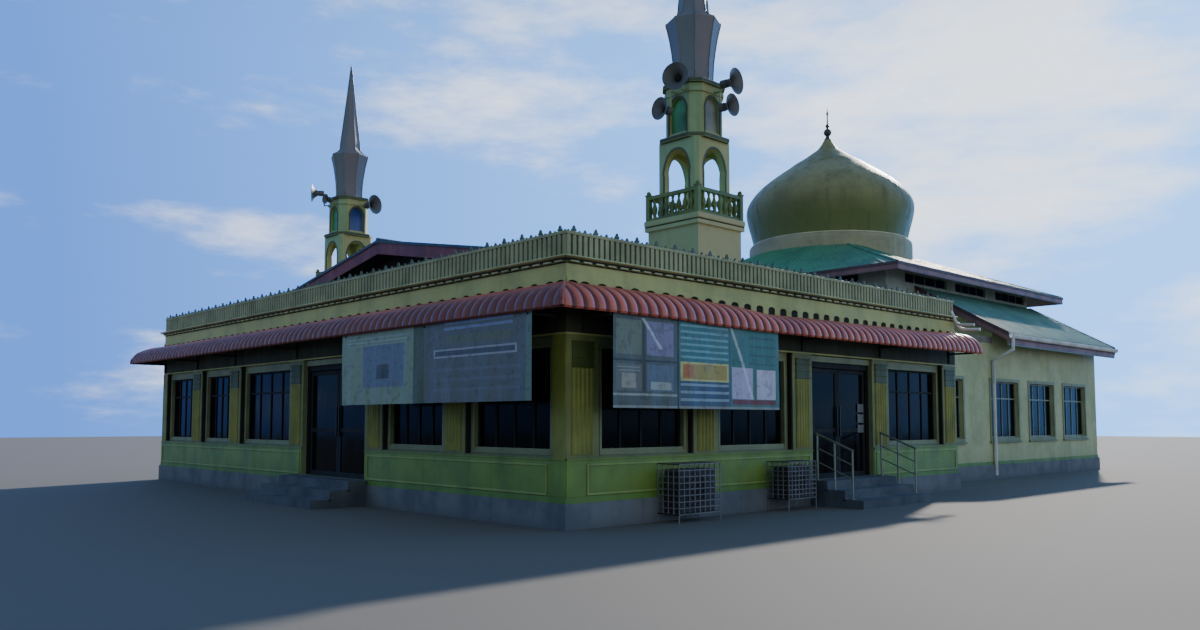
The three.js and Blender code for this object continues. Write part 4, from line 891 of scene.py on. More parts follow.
def dado_and_windows():
    shapes = [Shape() for _ in range(6)]
    dado, moulding, border, frames, glass, reveal_shadows = shapes
    for place, length, posts, door in FACADES.values():
        for shape in shapes:
            shape.place = place
        openings = bays(posts)
        stretches = [(0.0, length)]
        if door is not None:
            stretches = [(0.0, openings[door][0] - DOOR_CLEAR), (openings[door][1] + DOOR_CLEAR, length)]
        for start, end in stretches:
            dado.box(start, end, -0.01, 0.018, FLOOR, DADO_TOP)
            dado.box(start, end, -0.01, 0.032, DADO_TOP - 0.03, DADO_TOP)
            frame_border(moulding, start + (0.08 if start else 0.40), end - 0.1, *MOULDING_HEIGHTS, 0.032,
                         0.018, 0.034)
        for bay, (left, right) in enumerate(openings):
            if bay == door:
                border.box(left, right, -0.10, -0.05, *DOOR_HEAD_BAND)
                continue
            start, end = left + BORDER, right - BORDER
            frame_border(border, left, right, DADO_TOP, BEAM_FOOT, BORDER - 0.015, -RECESS, -RECESS + 0.012)
            frame_border(border, start - SURROUND, end + SURROUND, SILL - SURROUND, HEAD + SURROUND, SURROUND,
                         -RECESS, -RECESS + 0.028)
            border.box(left, right, -RECESS, 0.0, DADO_TOP, DADO_TOP + 0.02)
            # Painted shadow: a dark strip on the recess's side, beside the next post
            reveal_shadows.box(right - 0.035, right - 0.002, -RECESS + 0.012, -0.002, DADO_TOP + 0.02, BEAM_FOOT)
            window(frames, glass, start, end, SILL, HEAD)
    piece("dado_panels", dado, "dado", bevel=0.004)
    piece("dado_moulding", moulding, "dado_line", bevel=0.004)
    piece("window_borders", border, "margin", bevel=0.004)
    piece("window_slits", reveal_shadows, "gap_shadow")
    piece("window_frames", frames, "dark_frame", bevel=0.003)
    piece("window_glass", glass, "glass",
          replaces=("glass_front_right", "glass_front_left", "glass_right_rear"))


SASHES = 4
SASH_FRAME = 0.04
MULLION_HALF = 0.018
TRANSOM_DROP = 0.50


def window(frames, glass, left, right, foot, head, back=-0.17):
    """A sliding window: frame, mullions with sashes, a transom bar and dark glass."""
    edge = SASH_FRAME
    frame_border(frames, left, right, foot, head, edge, back - 0.04, back + 0.02)
    for i in range(1, SASHES):
        mid = left + i * (right - left) / SASHES
        frames.box(mid - MULLION_HALF, mid + MULLION_HALF, back - 0.03, back + 0.014, foot + edge, head - edge)
    transom = head - TRANSOM_DROP
    frames.box(left + edge, right - edge, back - 0.03, back + 0.01, transom, transom + edge)
    glass.box(left + 0.03, right - 0.03, back - 0.02, back - 0.008, foot + 0.03, head - 0.03)


# Doors: a metal frame, and leaves that turn on their own bodies

LEAF_INSET = 0.012
LEAF_MIDDLE = -0.16
STILE = 0.085
STILE_HALF = 0.0225
LOCK_RAIL = (1.38, 1.46)
PULL_HEIGHTS = (1.30, 1.90)
PULL_FROM_EDGE = 0.045
PULL_OUT = 0.045
PULL_FOOT = 0.06
NOTICE_HEIGHTS = ((1.37, 1.53), (1.57, 1.75), (1.79, 1.96))


def centred(shape, u, out, low, high, half):
    """A square upright bar about a point."""
    shape.box(u - half, u + half, out - half, out + half, low, high)


def door_leaf(label, place, letter):
    """Stiles and rails, a dark pane and a pair of pulls, on the leaf's own body."""
    node, body = f"{label}_door_leaf_{letter}", f"{label}_leaf_{letter}"
    left, right = reach_along(node, label)
    foot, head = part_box(node)[0].z + LEAF_INSET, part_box(node)[1].z - LEAF_INSET
    metal, pane, pull = Shape(place), Shape(place), Shape(place)
    frame_border(metal, left, right, foot, head, STILE, LEAF_MIDDLE - STILE_HALF, LEAF_MIDDLE + STILE_HALF)
    metal.box(left + STILE, right - STILE, LEAF_MIDDLE - 0.018, LEAF_MIDDLE + 0.018, *LOCK_RAIL)
    pane.box(left + 0.08, right - 0.08, LEAF_MIDDLE - 0.006, LEAF_MIDDLE + 0.006, foot + 0.08, head - 0.08)
    inner = right - PULL_FROM_EDGE if letter == "a" else left + PULL_FROM_EDGE
    for out in (LEAF_MIDDLE + PULL_OUT, LEAF_MIDDLE - PULL_OUT):
        centred(pull, inner, out, *PULL_HEIGHTS, 0.014)
        for z in (PULL_HEIGHTS[0] + PULL_FOOT, PULL_HEIGHTS[1] - PULL_FOOT):
            pull.box(inner - 0.008, inner + 0.008, out, LEAF_MIDDLE, z - 0.008, z + 0.008)
    if node == "side_door_leaf_b":
        notices = Shape(place)
        for low, high in NOTICE_HEIGHTS:
            notices.box(right - 0.28, right - 0.05, LEAF_MIDDLE + STILE_HALF, LEAF_MIDDLE + 0.028, low, high)
        piece("side_door_notices", notices, "notice", body, bevel=0.002)
    piece(f"{node}_metal", metal, "dark_frame", body, bevel=0.003, replaces=(node,))
    piece(f"{node}_glass", pane, "glass", body)
    piece(f"{node}_pull", pull, "pull", body, bevel=0.006)


def doors():
    for label, place, posts, bay in (("side", right_face, SIDE_POSTS, SIDE_DOOR_BAY),
                                     ("front", front_face, FRONT_POSTS, FRONT_DOOR_BAY)):
        trim = Shape(place)
        frame_border(trim, *bays(posts)[bay], FLOOR, BEAM_FOOT, 0.03, -0.11, -0.085)
        piece(f"{label}_door_trim", trim, "dark_frame", bevel=0.003)
        for letter in "ab":
            door_leaf(label, place, letter)


# Steps and handrails

STEP_RISE = 0.16
STEP_TREAD = 0.38
STEP_COUNT = 3
STEP_NEAR = 0.05
NOSE_DEPTH = 0.05
RAIL_HEIGHT = 0.89
RAIL_POST = 0.019
RAIL_FOOT = 0.045
LOWER_RAILS = (0.62, 0.36)


def steps():
    for label, place in (("side", right_face), ("front", front_face)):
        left, right = reach_along(f"{label}_steps", label)
        noses = Shape(place)
        for i in range(1, STEP_COUNT + 1):
            out, top = STEP_NEAR + (STEP_COUNT - i) * STEP_TREAD, i * STEP_RISE
            noses.box(left, right, out - NOSE_DEPTH, out + 0.012, top - 0.03, top + 0.004)
        piece(f"{label}_step_noses", noses, "nosing", bevel=0.004)


def handrails():
    for label in ("front", "rear"):
        node = f"side_handrail_{label}"
        low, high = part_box(node)
        x, near, far = (low.x + high.x) / 2, high.y - 0.02, low.y + 0.02
        tubes = Shape()
        for share in (0.0, 0.5, 1.0):
            y = near + (far - near) * share
            foot = STEP_RISE if share else FLOOR
            top = FLOOR + (STEP_RISE - FLOOR) * share + RAIL_HEIGHT - 0.01
            tubes.tube([(x, y, foot), (x, y, top)], RAIL_POST)
            tubes.tube([(x, y, foot), (x, y, foot + 0.012)], RAIL_FOOT)
        for rise, radius in ((RAIL_HEIGHT, 0.02), *((rise, 0.013) for rise in LOWER_RAILS)):
            tubes.tube([(x, near + 0.02, FLOOR + rise), (x, far - 0.02, STEP_RISE + rise)], radius)
        piece(f"{node}_tubes", tubes, "steel", replaces=(node,))


# Condenser cages on the door side

CAGE_COLUMNS = 8
CAGE_DEPTHS = 4
CAGE_ROWS = 8
CAGE_BAR = 0.013
CAGE_FEET = (("front", 0.13), ("rear", 0.21))
PLINTH_LEDGE = 0.05
FAN_SHARE = 0.40
FAN_RINGS = (0.25, 0.45, 0.65, 0.85, 1.0)
FAN_SPOKES = 8


def spaced(low, high, count, width):
    """Starts of evenly spaced bars of a width, the last one ending at high."""
    return [low + (high - low - width) * k / count for k in range(count + 1)]


def cage_bars(low, high, foot, wall):
    """Bars across the front, the two ends, the top and the bottom of a cage that stands on its end bars."""
    cage, bar = Shape(), CAGE_BAR
    xs = spaced(low.x, high.x, CAGE_COLUMNS, bar)
    ys = spaced(low.y, wall, CAGE_DEPTHS, bar)
    ends = (xs[0], xs[-1])
    for x in xs:
        cage.box(x, x + bar, low.y, low.y + bar, 0.0 if x in ends else foot, high.z)
        cage.box(x, x + bar, low.y, wall, high.z - bar, high.z)
        cage.box(x, x + bar, low.y, wall, foot, foot + bar)
    for z in spaced(foot, high.z, CAGE_ROWS, bar):
        cage.box(low.x, high.x, low.y, low.y + bar, z, z + bar)
        for x in ends:
            cage.box(x, x + bar, low.y, wall, z, z + bar)
    for x in ends:
        for y in ys[1:]:
            cage.box(x, x + bar, y, y + bar, 0.0 if y == ys[-1] else foot, high.z)
    return cage


def condensers():
    for label, foot in CAGE_FEET:
        node = f"condenser_cage_{label}"
        low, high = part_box(node)
        wall = -HALF - PLINTH_LEDGE
        unit, fan = Shape(), Shape()
        x0, x1, y0, y1 = low.x + 0.09, high.x - 0.09, low.y + 0.06, wall - 0.08
        z0, z1 = foot + 0.02, high.z - 0.09
        unit.box(x0, x1, y0, y1, z0, z1)
        middle, radius = (x0 * 0.6 + x1 * 0.4, (z0 + z1) / 2), min(z1 - z0, x1 - x0) * FAN_SHARE
        near = y0 - 0.008
        for share in FAN_RINGS:
            ring(fan, middle, radius * share, near, 0.006)
        for k in range(FAN_SPOKES):
            t = 2 * math.pi * k / FAN_SPOKES
            fan.tube([(middle[0], near, middle[1]),
                      (middle[0] + radius * math.cos(t), near, middle[1] + radius * math.sin(t))], 0.004, 6)
        piece(f"{node}_bars", cage_bars(low, high, foot, wall), "cage", replaces=(node,))
        piece(f"{node}_unit", unit, "condenser", bevel=0.012)
        piece(f"{node}_fan", fan, "shadow")


def ring(shape, middle, radius, y, thick, sides=24):
    """A wire ring that stands in an upright plane along the wall."""
    rows = []
    for k in range(sides):
        t = 2 * math.pi * k / sides
        rows.append([(middle[0] + (radius + a) * math.cos(t), y + b, middle[1] + (radius + a) * math.sin(t))
                     for a, b in ((-thick, 0), (0, -thick), (thick, 0), (0, thick))])
    shape.rows(rows, True, wrap=True)


# Banners: printed cloth hung from the canopies

BANNER_COLUMNS = 150
BANNER_ROWS = 24
TIE_PITCH = 0.8
TIE_SAG = 0.02
CLOTH_BACK = 0.03
TIE_PATH = ((CLOTH_BACK, -0.01), (0.05, 0.06), (0.09, 0.10))


def banner(label, place):
    node = f"banner_{label}"
    low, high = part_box(node)
    left, right = reach_along(node, label)
    base = -HALF - low.y if label == "side" else FRONT_X - low.x
    rows = []
    for j in range(BANNER_ROWS + 1):
        t = j / BANNER_ROWS
        row = []
        for i in range(BANNER_COLUMNS + 1):
            u = left + (right - left) * i / BANNER_COLUMNS
            wave = 0.010 * math.sin(u * 6.1 + 1.2 * t) + 0.007 * math.sin(u * 13.7 - 2.0 * t)
            sag = TIE_SAG * abs(math.sin(math.pi * (u - left) / TIE_PITCH)) * (1 - t) ** 2
            row.append((u, base - CLOTH_BACK + (0.3 + 0.7 * t) * wave, high.z + (low.z - high.z) * t - sag))
        rows.append(row)
    cloth = Shape(place)
    cloth.rows(rows)
    thing = piece(f"{node}_cloth", cloth, node, crease=60, replaces=(node,))
    ties = Shape(place)
    count = round((right - left) / TIE_PITCH)
    for i in range(count + 1):
        u = left + 0.02 + (right - left - 0.04) * i / count
        ties.tube([(u, base - back, high.z + up) for back, up in TIE_PATH], 0.005, 6)
    piece(f"{node}_ties", ties, "gutter")


def banners():
    banner("side", right_face)
    banner("front", front_face)


# Roofs in ribbed sheet

RIB_RISE = 0.028
RIB_WIDTH = 0.07
RIB_STEPS = ((-0.5, 0), (-0.25, 1), (0.25, 1), (0.5, 0))
SHEET_LIFT = 0.004
SHEET_DROP = 0.012


def ribbed(shape, eave, top, pitch):
    """Ribbed sheet on a rectangular slope, from the two ends of its eave to its top above the first end."""
    start, end = (Vector(point) for point in eave)
    up = Vector(top) - start
    length = (end - start).length
    along = (end - start).normalized()
    normal = along.cross(up).normalized()
    if normal.z < 0:
        normal.negate()
    spots = [(0.0, 0.0), (length, 0.0)]
    count = round(length / pitch)
    for i in range(count):
        mid = (i + 0.5) * length / count
        spots += [(mid + RIB_WIDTH * share, RIB_RISE * rise) for share, rise in RIB_STEPS]
    spots.sort()
    foot = [start + along * t + normal * (SHEET_LIFT + rise) for t, rise in spots]
    head = [point + up for point in foot]
    under = [start + along * t - normal * SHEET_DROP for t, _rise in spots]
    shape.rows([[tuple(point) for point in row] for row in (under, foot, head)])


UPPER_EAVE_Z = 5.98
UPPER_EAVE_HALF = (5.72, 5.87)
UPPER_OPENING_RADIUS = 2.87
UPPER_TOP_Z = 7.45
UPPER_TOP_DROP = 0.40
UPPER_RIBS = 180
UPPER_RIB_RISE = 0.024
UPPER_RIB_STEPS = ((0.0, 0), (0.36, 0), (0.43, 1), (0.57, 1), (0.64, 0))
UPPER_LIFT = 0.022
GABLE_HALF = 4.70
GABLE_PITCH = 0.172
GABLE_DEPTH = 0.27
GABLE_RIB_PITCH = 0.28
RAKE_CAP_DEPTH = 0.01
LEAN_HEAD = 5.63
LEAN_EAVE = 4.05
LEAN_EAVE_Y = 7.75
LEAN_X = (4.5, 12.75)
LEAN_RIB_PITCH = 0.26
LEAN_RAKE_TOP = 0.045
LEAN_BOARD_HEIGHTS = (3.74, 4.04)
CLERESTORY_Y = 5.0
GUTTER_SECTION = ((0.02, 4.02), (0.025, 3.94), (0.05, 3.905), (0.09, 3.90), (0.125, 3.93), (0.135, 4.02),
                  (0.12, 4.02), (0.112, 3.94), (0.085, 3.915), (0.05, 3.92), (0.035, 3.95), (0.03, 4.02))
DOWNPIPE = ((LEAN_EAVE_Y + 0.08, 3.91), (LEAN_EAVE_Y + 0.08, 3.6), (HALL_HALF + 0.06, 3.3),
            (HALL_HALF + 0.06, 0.1))
DOWNPIPE_RADIUS = 0.05


def front_gable():
    """Low gable roof over the front block: ribbed slopes, deep edge boards and a dark cap on its edges."""
    low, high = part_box("front_gable_roof")
    x0, x1, ridge = low.x, high.x, high.z
    eave = ridge - GABLE_PITCH * GABLE_HALF
    sheets, boards, caps = Shape(), Shape(), Shape()
    for side in (-1, 1):
        y = side * GABLE_HALF
        ribbed(sheets, ((x0, y, eave), (x1, y, eave)), (x0, 0.0, ridge), GABLE_RIB_PITCH)
        for x, out in ((x0, -1), (x1, 1)):
            for shape, reach, foot, top in ((boards, 0.025, -GABLE_DEPTH, 0.01),
                                            (caps, 0.05, -RAKE_CAP_DEPTH, 0.05)):
                shape.rows([[(x + out * a, end, z + b) for a, b in section(-0.02, reach, foot, top)]
                            for end, z in ((0.0, ridge), (y, eave))], True, True)
        boards.box(x0, x1, y, y + side * 0.025, eave - GABLE_DEPTH, eave + 0.005)
    caps.tube([(x0 - 0.04, 0.0, ridge + 0.03), (x1 + 0.04, 0.0, ridge + 0.03)], 0.075, 12)
    piece("front_gable_sheets", sheets, "maroon", crease=25)
    piece("front_gable_boards", boards, "rake_board", bevel=0.004)
    piece("front_gable_caps", caps, "rake_cap")


def upper_eave(turn):
    """Point of the upper roof's rectangular eave at a turn about the dome's axis."""
    c, s = math.cos(turn), math.sin(turn)
    reach = max(abs(c), abs(s))
    half_x, half_y = UPPER_EAVE_HALF
    return Vector((AXIS_X + half_x * c / reach, half_y * s / reach, UPPER_EAVE_Z))


def upper_opening(turn):
    """Point of the round opening under the drum, which dips at the two sides."""
    share = max(0.0, (abs(math.sin(turn)) - math.sqrt(0.5)) / (1 - math.sqrt(0.5)))
    return Vector((AXIS_X + UPPER_OPENING_RADIUS * math.cos(turn), UPPER_OPENING_RADIUS * math.sin(turn),
                   UPPER_TOP_Z - UPPER_TOP_DROP * share * share))


def upper_roof():
    sheets, caps = Shape(), Shape()
    foot, head = [], []
    for k in range(UPPER_RIBS):
        for share, rise in UPPER_RIB_STEPS:
            turn = 2 * math.pi * (k + share) / UPPER_RIBS
            lift = Vector((0, 0, UPPER_LIFT + UPPER_RIB_RISE * rise))
            foot.append(tuple(upper_eave(turn) + lift))
            head.append(tuple(upper_opening(turn) + lift))
    sheets.rows([foot, head], True)
    for k in range(4):
        turn = math.pi / 4 + math.pi / 2 * k
        lift = Vector((0, 0, UPPER_LIFT + 0.01))
        caps.tube([upper_eave(turn) + lift, upper_opening(turn) + lift], 0.045, 12)
    piece("upper_roof_sheets", sheets, "teal", crease=25)
    piece("upper_roof_caps", caps, "teal")
    fascia()


def fascia():
    """Edge board round the upper roof, with a thin trim at its top and foot."""
    low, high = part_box("upper_fascia")
    cx, hx, hy = (low.x + high.x) / 2, (high.x - low.x) / 2, high.y
    board, trim = Shape(), Shape()
    for shape, near, far, foot, top in ((board, 0.0, 0.03, low.z, high.z),
                                        (trim, -0.02, 0.0, high.z - 0.06, high.z + 0.02),
                                        (trim, -0.012, 0.0, low.z, low.z + 0.03)):
        shape.rows([[(cx + sx * (hx - d), sy * (hy - d), z) for d, z in section(near, far, foot, top)]
                    for sx, sy in square(1)], True, wrap=True)
    piece("upper_fascia_board", board, "board", bevel=0.004, replaces=("upper_fascia",))
    piece("upper_fascia_trim", trim, "board_dark", bevel=0.003)


def lean_tos():
    sheets, boards, gutters, edges = (Shape() for _ in range(4))
    for side in (-1, 1):
        eave = [(x, side * LEAN_EAVE_Y, LEAN_EAVE) for x in LEAN_X]
        ribbed(sheets, eave, (LEAN_X[0], side * CLERESTORY_Y, LEAN_HEAD), LEAN_RIB_PITCH)
        for x, out in zip(LEAN_X, (-1, 1)):
            for shape, depth, near, far in ((boards, 0.26, 0.0, 0.03), (edges, 0.11, 0.03, 0.05)):
                rake = section(near, far, LEAN_RAKE_TOP - depth, LEAN_RAKE_TOP)
                ends = ((CLERESTORY_Y, LEAN_HEAD), (LEAN_EAVE_Y + 0.03, LEAN_EAVE))
                shape.rows([[(x + out * a, side * y, z + b) for a, b in rake] for y, z in ends], True, True)
        boards.box(*LEAN_X, side * (LEAN_EAVE_Y + 0.002), side * (LEAN_EAVE_Y + 0.02), *LEAN_BOARD_HEIGHTS)
        channel = [(side * (LEAN_EAVE_Y + out), z) for out, z in GUTTER_SECTION]
        gutters.rows([[(x, y, z) for y, z in channel] for x in LEAN_X], True, True)
        gutters.tube([(LEAN_X[0] + 0.1, side * y, z) for y, z in DOWNPIPE], DOWNPIPE_RADIUS, 14)
    piece("lean_to_sheets", sheets, "teal_blue", crease=25)
    piece("lean_to_boards", boards, "board", bevel=0.004)
    piece("lean_to_board_steps", edges, "board_dark", bevel=0.003)
    piece("lean_to_gutters", gutters, "gutter", crease=50)


PARAPET_PIPES = ((12.25, 4.02, 3.76, 0.62), (12.10, 4.20, 3.86, 0.55))


def parapet_pipes():
    """Two white bent pipes that hang out of the rear end of the door side's parapet."""
    pipes = Shape()
    for x, top, foot, out in PARAPET_PIPES:
        path = [(0.0, top), (0.04, top - 0.10), (0.12, foot + 0.06), (0.26, foot), (out, foot - 0.02)]
        pipes.tube([right_face(x, 0.02 + a, z) for a, z in smooth(path, 3)], 0.038, 10)
    piece("parapet_pipes", pipes, "gutter")


# Clerestory and hall windows

CLERESTORY_FRONT = 2.8
CLERESTORY_POSTS = ((CLERESTORY_FRONT, 3.9), (6.5, 7.06), (9.2, 9.95), (12.3, 12.5))
CLERESTORY_SILL = 5.72
CLERESTORY_HEAD = 6.04
HALL_SIDE_WINDOWS = (1.9, 5.4, 8.0, 10.6)
HALL_REAR_WINDOWS = (-5.2, -1.75, 1.75, 5.2)
HALL_WINDOW = 1.8
CLERESTORY_BAR = 0.035
CLERESTORY_MULLIONS = 4
CLERESTORY_END_WINDOWS = (-3.0, 0.0, 3.0)
CLERESTORY_END_HALF = 1.1
HALL_BORDER = 0.09


def clerestory_window(panes, bars, left, right, mullions=0):
    panes.box(left + 0.01, right - 0.01, -0.09, -0.08, CLERESTORY_SILL + 0.01, CLERESTORY_HEAD)
    frame_border(bars, left, right, CLERESTORY_SILL, CLERESTORY_HEAD, CLERESTORY_BAR, -0.10, -0.05)
    for k in range(1, mullions):
        mid = left + (right - left) * k / mullions
        bars.box(mid - 0.015, mid + 0.015, -0.10, -0.055, CLERESTORY_SILL, CLERESTORY_HEAD)


def clerestory():
    panes, bars = Shape(), Shape()
    for side in (-1, 1):
        panes.place = bars.place = long_wall(side, CLERESTORY_Y)
        for (_start, left), (right, _end) in zip(CLERESTORY_POSTS, CLERESTORY_POSTS[1:]):
            clerestory_window(panes, bars, left, right, CLERESTORY_MULLIONS)
    for x, side in ((CLERESTORY_FRONT, -1), (HALL_END, 1)):
        panes.place = bars.place = cross_wall(side, x)
        for mid in CLERESTORY_END_WINDOWS:
            clerestory_window(panes, bars, mid - CLERESTORY_END_HALF, mid + CLERESTORY_END_HALF)
    piece("clerestory_panes", panes, "navy")
    piece("clerestory_bars", bars, "frame", bevel=0.003)


def hall_windows():
    frames, glass, surrounds = Shape(), Shape(), Shape()
    for place, middles in ((long_wall(-1, HALL_HALF), HALL_SIDE_WINDOWS),
                           (long_wall(1, HALL_HALF), HALL_SIDE_WINDOWS),
                           (cross_wall(1, HALL_END), HALL_REAR_WINDOWS)):
        frames.place = glass.place = surrounds.place = place
        for mid in middles:
            left, right, b = mid - HALL_WINDOW / 2, mid + HALL_WINDOW / 2, HALL_BORDER
            window(frames, glass, left, right, SILL, HEAD, -0.10)
            frame_border(surrounds, left - b, right + b, SILL - b, HEAD + b, b, 0.0, 0.02)
            surrounds.box(left - b - 0.03, right + b + 0.03, 0.0, 0.06, SILL - b - 0.04, SILL - b)
    piece("hall_window_frames", frames, "frame", bevel=0.003)
    piece("hall_window_panes", glass, "glass", replaces=("glass_hall",))
    piece("hall_window_surrounds", surrounds, "margin", bevel=0.004)


# Drum, dome and finial

DOME_SIDES = 96
DRUM_CURVE = ((2.87, 6.86), (2.87, 7.30), (2.872, 7.60), (2.87, 7.78), (2.86, 7.86), (2.83, 7.91),
              (2.78, 7.94), (2.70, 7.96))
DOME_CURVE = ((2.70, 7.95), (2.735, 8.12), (2.78, 8.30), (2.83, 8.50), (2.88, 8.68), (2.918, 8.84),
              (2.95, 9.0), (2.962, 9.12), (2.955, 9.28), (2.90, 9.46), (2.79, 9.65), (2.63, 9.85),
              (2.42, 10.06), (2.16, 10.27), (1.86, 10.49), (1.55, 10.70), (1.24, 10.92), (0.90, 11.13),
              (0.60, 11.34), (0.42, 11.47), (0.31, 11.58), (0.2, 11.74), (0.115, 11.9))
LIP_CURVE = ((2.72, 7.935), (2.77, 7.94), (2.785, 7.96), (2.765, 7.985), (2.72, 7.99))
FINIAL_CURVE = ((0.13, 11.88), (0.10, 11.93), (0.06, 11.99), (0.075, 12.03), (0.12, 12.08), (0.14, 12.15),
                (0.12, 12.22), (0.07, 12.27), (0.035, 12.31), (0.05, 12.34), (0.075, 12.39), (0.05, 12.44),
                (0.028, 12.47), (0.024, 12.75), (0.03, 12.80), (0.04, 12.86), (0.024, 12.92), (0.012, 13.0),
                (0.002, 13.12))


def smooth(points, steps=4):
    """Points on a smooth curve through the given ones."""
    padded = [points[0], *points, points[-1]]
    curve = []
    for a, b, c, d in zip(padded, padded[1:], padded[2:], padded[3:]):
        for k in range(steps):
            t = k / steps
            curve.append(tuple(0.5 * (2 * q + (r - p) * t + (2 * p - 5 * q + 4 * r - s) * t * t
                                      + (3 * q - p - 3 * r + s) * t ** 3) for p, q, r, s in zip(a, b, c, d)))
    return [*curve, points[-1]]


def turned(shape, curve, centre, sides, steps=4):
    shape.stack(circle(sides), smooth(curve, steps), centre)


def dome():
    for name, curve, sides, finish, slot in (("drum", DRUM_CURVE, DOME_SIDES, "drum", "drum_plaster"),
                                             ("dome", DOME_CURVE, DOME_SIDES, "dome", "dome_skin"),
                                             ("finial", FINIAL_CURVE, 24, "finial", "finial_metal")):
        body = Shape()
        turned(body, curve, (AXIS_X, 0.0), sides)
        piece(f"{name}_skin", body, finish, crease=50, replaces=(name,))
    lip = Shape()
    turned(lip, LIP_CURVE, (AXIS_X, 0.0), DOME_SIDES, 2)
    piece("dome_lip", lip, "lip")


# Minarets

MINARET_PLACES = {word: centre_of(f"minaret_{word}_spire") for word in ("right", "left")}
BALUSTER = ((0.036, 0.0), (0.036, 0.04), (0.024, 0.06), (0.036, 0.10), (0.052, 0.15), (0.050, 0.20),
            (0.030, 0.26), (0.020, 0.29), (0.028, 0.32), (0.024, 0.335), (0.036, 0.35), (0.036, 0.37))
SPIRE_SIDES = 8
SPIRE_CURVE = ((0.385, 8.19), (0.385, 8.42), (0.40, 8.66), (0.43, 8.90), (0.47, 9.14), (0.515, 9.34),
               (0.545, 9.45), (0.548, 9.485), (0.50, 9.51), (0.40, 9.57), (0.32, 9.66), (0.298, 9.76),
               (0.292, 9.88), (0.262, 10.12), (0.215, 10.5), (0.165, 10.92), (0.115, 11.35), (0.06, 11.82),
               (0.008, 12.28))
HORN_CURVE = ((0.050, 0.0), (0.052, 0.05), (0.060, 0.10), (0.080, 0.15), (0.115, 0.20), (0.165, 0.24),
              (0.21, 0.265), (0.240, 0.28), (0.245, 0.29), (0.235, 0.29), (0.20, 0.268), (0.155, 0.245),
              (0.105, 0.205), (0.07, 0.155), (0.05, 0.11))
# Horns of each minaret: heading in degrees, height and size
HORNS = {"right": ((201, 8.10, 1.08), (176, 7.58, 0.9), (-82, 8.11, 1.05), (-86, 7.64, 0.9)),
         "left": ((150, 8.34, 1.1), (190, 8.06, 0.6), (-72, 7.94, 1.15))}
BAND_HALF = 0.50
BAND_CHAMFER = 0.18
ARM_REACH = 0.15
THROAT_CURVE = ((0.001, 0.10), (0.05, 0.105), (0.06, 0.14), (0.03, 0.17), (0.001, 0.18))
BALCONY_TOP = 5.50
BALUSTRADE_HALF = 0.63
BALUSTRADE_TOP = BALCONY_TOP + 0.5
BALUSTER_BAYS = 8
KNOB_CURVE = ((0.02, 0.03), (0.042, 0.05), (0.046, 0.075), (0.03, 0.1), (0.004, 0.11))
ARCH = (0.62, 5.64, 6.36, 6.85)
NICHE = (0.42, 7.19, 7.58, 7.88)
ARCH_BORDER = 0.04
ARCH_STEPS = 9
ARCH_BULGE = 1.05
BASE_MOULDING = ((0.64, 5.28), (0.655, 5.30), (0.655, 5.34), (0.69, 5.37), (0.69, 5.40), (0.70, 5.41),
                 (0.70, BALCONY_TOP + 0.004))
ARCH_CORNICE = ((0.54, 7.02), (0.59, 7.035), (0.595, 7.045), (0.595, 7.10), (0.58, 7.115), (0.50, 7.12))
LANTERN_CORNICE = ((0.48, 8.11), (0.523, 8.125), (0.523, 8.185), (0.51, 8.20), (0.42, 8.205))
ARCH_FOOT = ((0.535, BALCONY_TOP), (0.535, 5.60), (0.515, 5.61))
BAND_SECTION = ((0.478, 7.945), (BAND_HALF, 7.945), (BAND_HALF, 8.015), (0.478, 8.015))
ARM_HEIGHT = 7.98
HORN_SIDES = 28


def balustrade(word, centre):
    cx, cy = centre
    body = Shape()
    half, top = BALUSTRADE_HALF, BALUSTRADE_TOP
    for x, y in square(half):
        x, y = cx + x, cy + y
        centred(body, x, y, BALCONY_TOP, top + 0.01, 0.045)
        centred(body, x, y, top + 0.01, top + 0.035, 0.058)
        body.stack(circle(12), smooth([(r, top + z) for r, z in KNOB_CURVE], 2), (x, y))
    baluster = [(r, BALCONY_TOP + 0.06 + z) for r, z in BALUSTER]
    for side in (-1, 1):
        x, y = cx + side * half, cy + side * half
        for low, high, wide in ((BALCONY_TOP, BALCONY_TOP + 0.06, 0.03), (top - 0.07, top, 0.04)):
            body.box(cx - half, cx + half, y - wide, y + wide, low, high)
            body.box(x - wide, x + wide, cy - half, cy + half, low, high)
        for k in range(1, BALUSTER_BAYS):
            along = half * (2 * k / BALUSTER_BAYS - 1)
            body.stack(circle(10), baluster, (cx + along, y))
            body.stack(circle(10), baluster, (x, cy + along))
    piece(f"minaret_{word}_balusters", body, "green", crease=40, replaces=(f"minaret_{word}_balustrade",))


def niche(width, foot, spring, apex, grow=0.0):
    """Outline of a pointed arch as (along, up) points, grown outwards by a border."""
    half = width / 2 + grow
    right = [(half, foot - grow), (half, spring)]
    for i in range(1, ARCH_STEPS):
        t = i / ARCH_STEPS * math.pi / 2
        rise = apex + grow - spring
        right.append((half * ARCH_BULGE * math.cos(t) ** 0.85, spring + rise * math.sin(t) ** 1.15))
    return [*right, (0.0, apex + grow), *[(-u, z) for u, z in reversed(right)]]


def faces_of(centre):
    """Placements on the four sides of a square tower, as (along, out, up) from its axis."""
    cx, cy = centre
    return {"front": lambda u, out, z: (cx - out, cy + u, z), "rear": lambda u, out, z: (cx + out, cy + u, z),
            "right": lambda u, out, z: (cx + u, cy - out, z), "left": lambda u, out, z: (cx + u, cy + out, z)}


def arched_border(shape, width, foot, spring, apex, grow, near, far):
    """A raised border that follows a pointed arch."""
    inner, outer = niche(width, foot, spring, apex), niche(width, foot, spring, apex, grow)
    rows = []
    for (u0, z0), (u1, z1) in zip(inner, outer):
        rows.append([(u0, near, z0), (u0, far, z0), (u1, far, z1), (u1, near, z1)])
    shape.rows(rows, True, True)


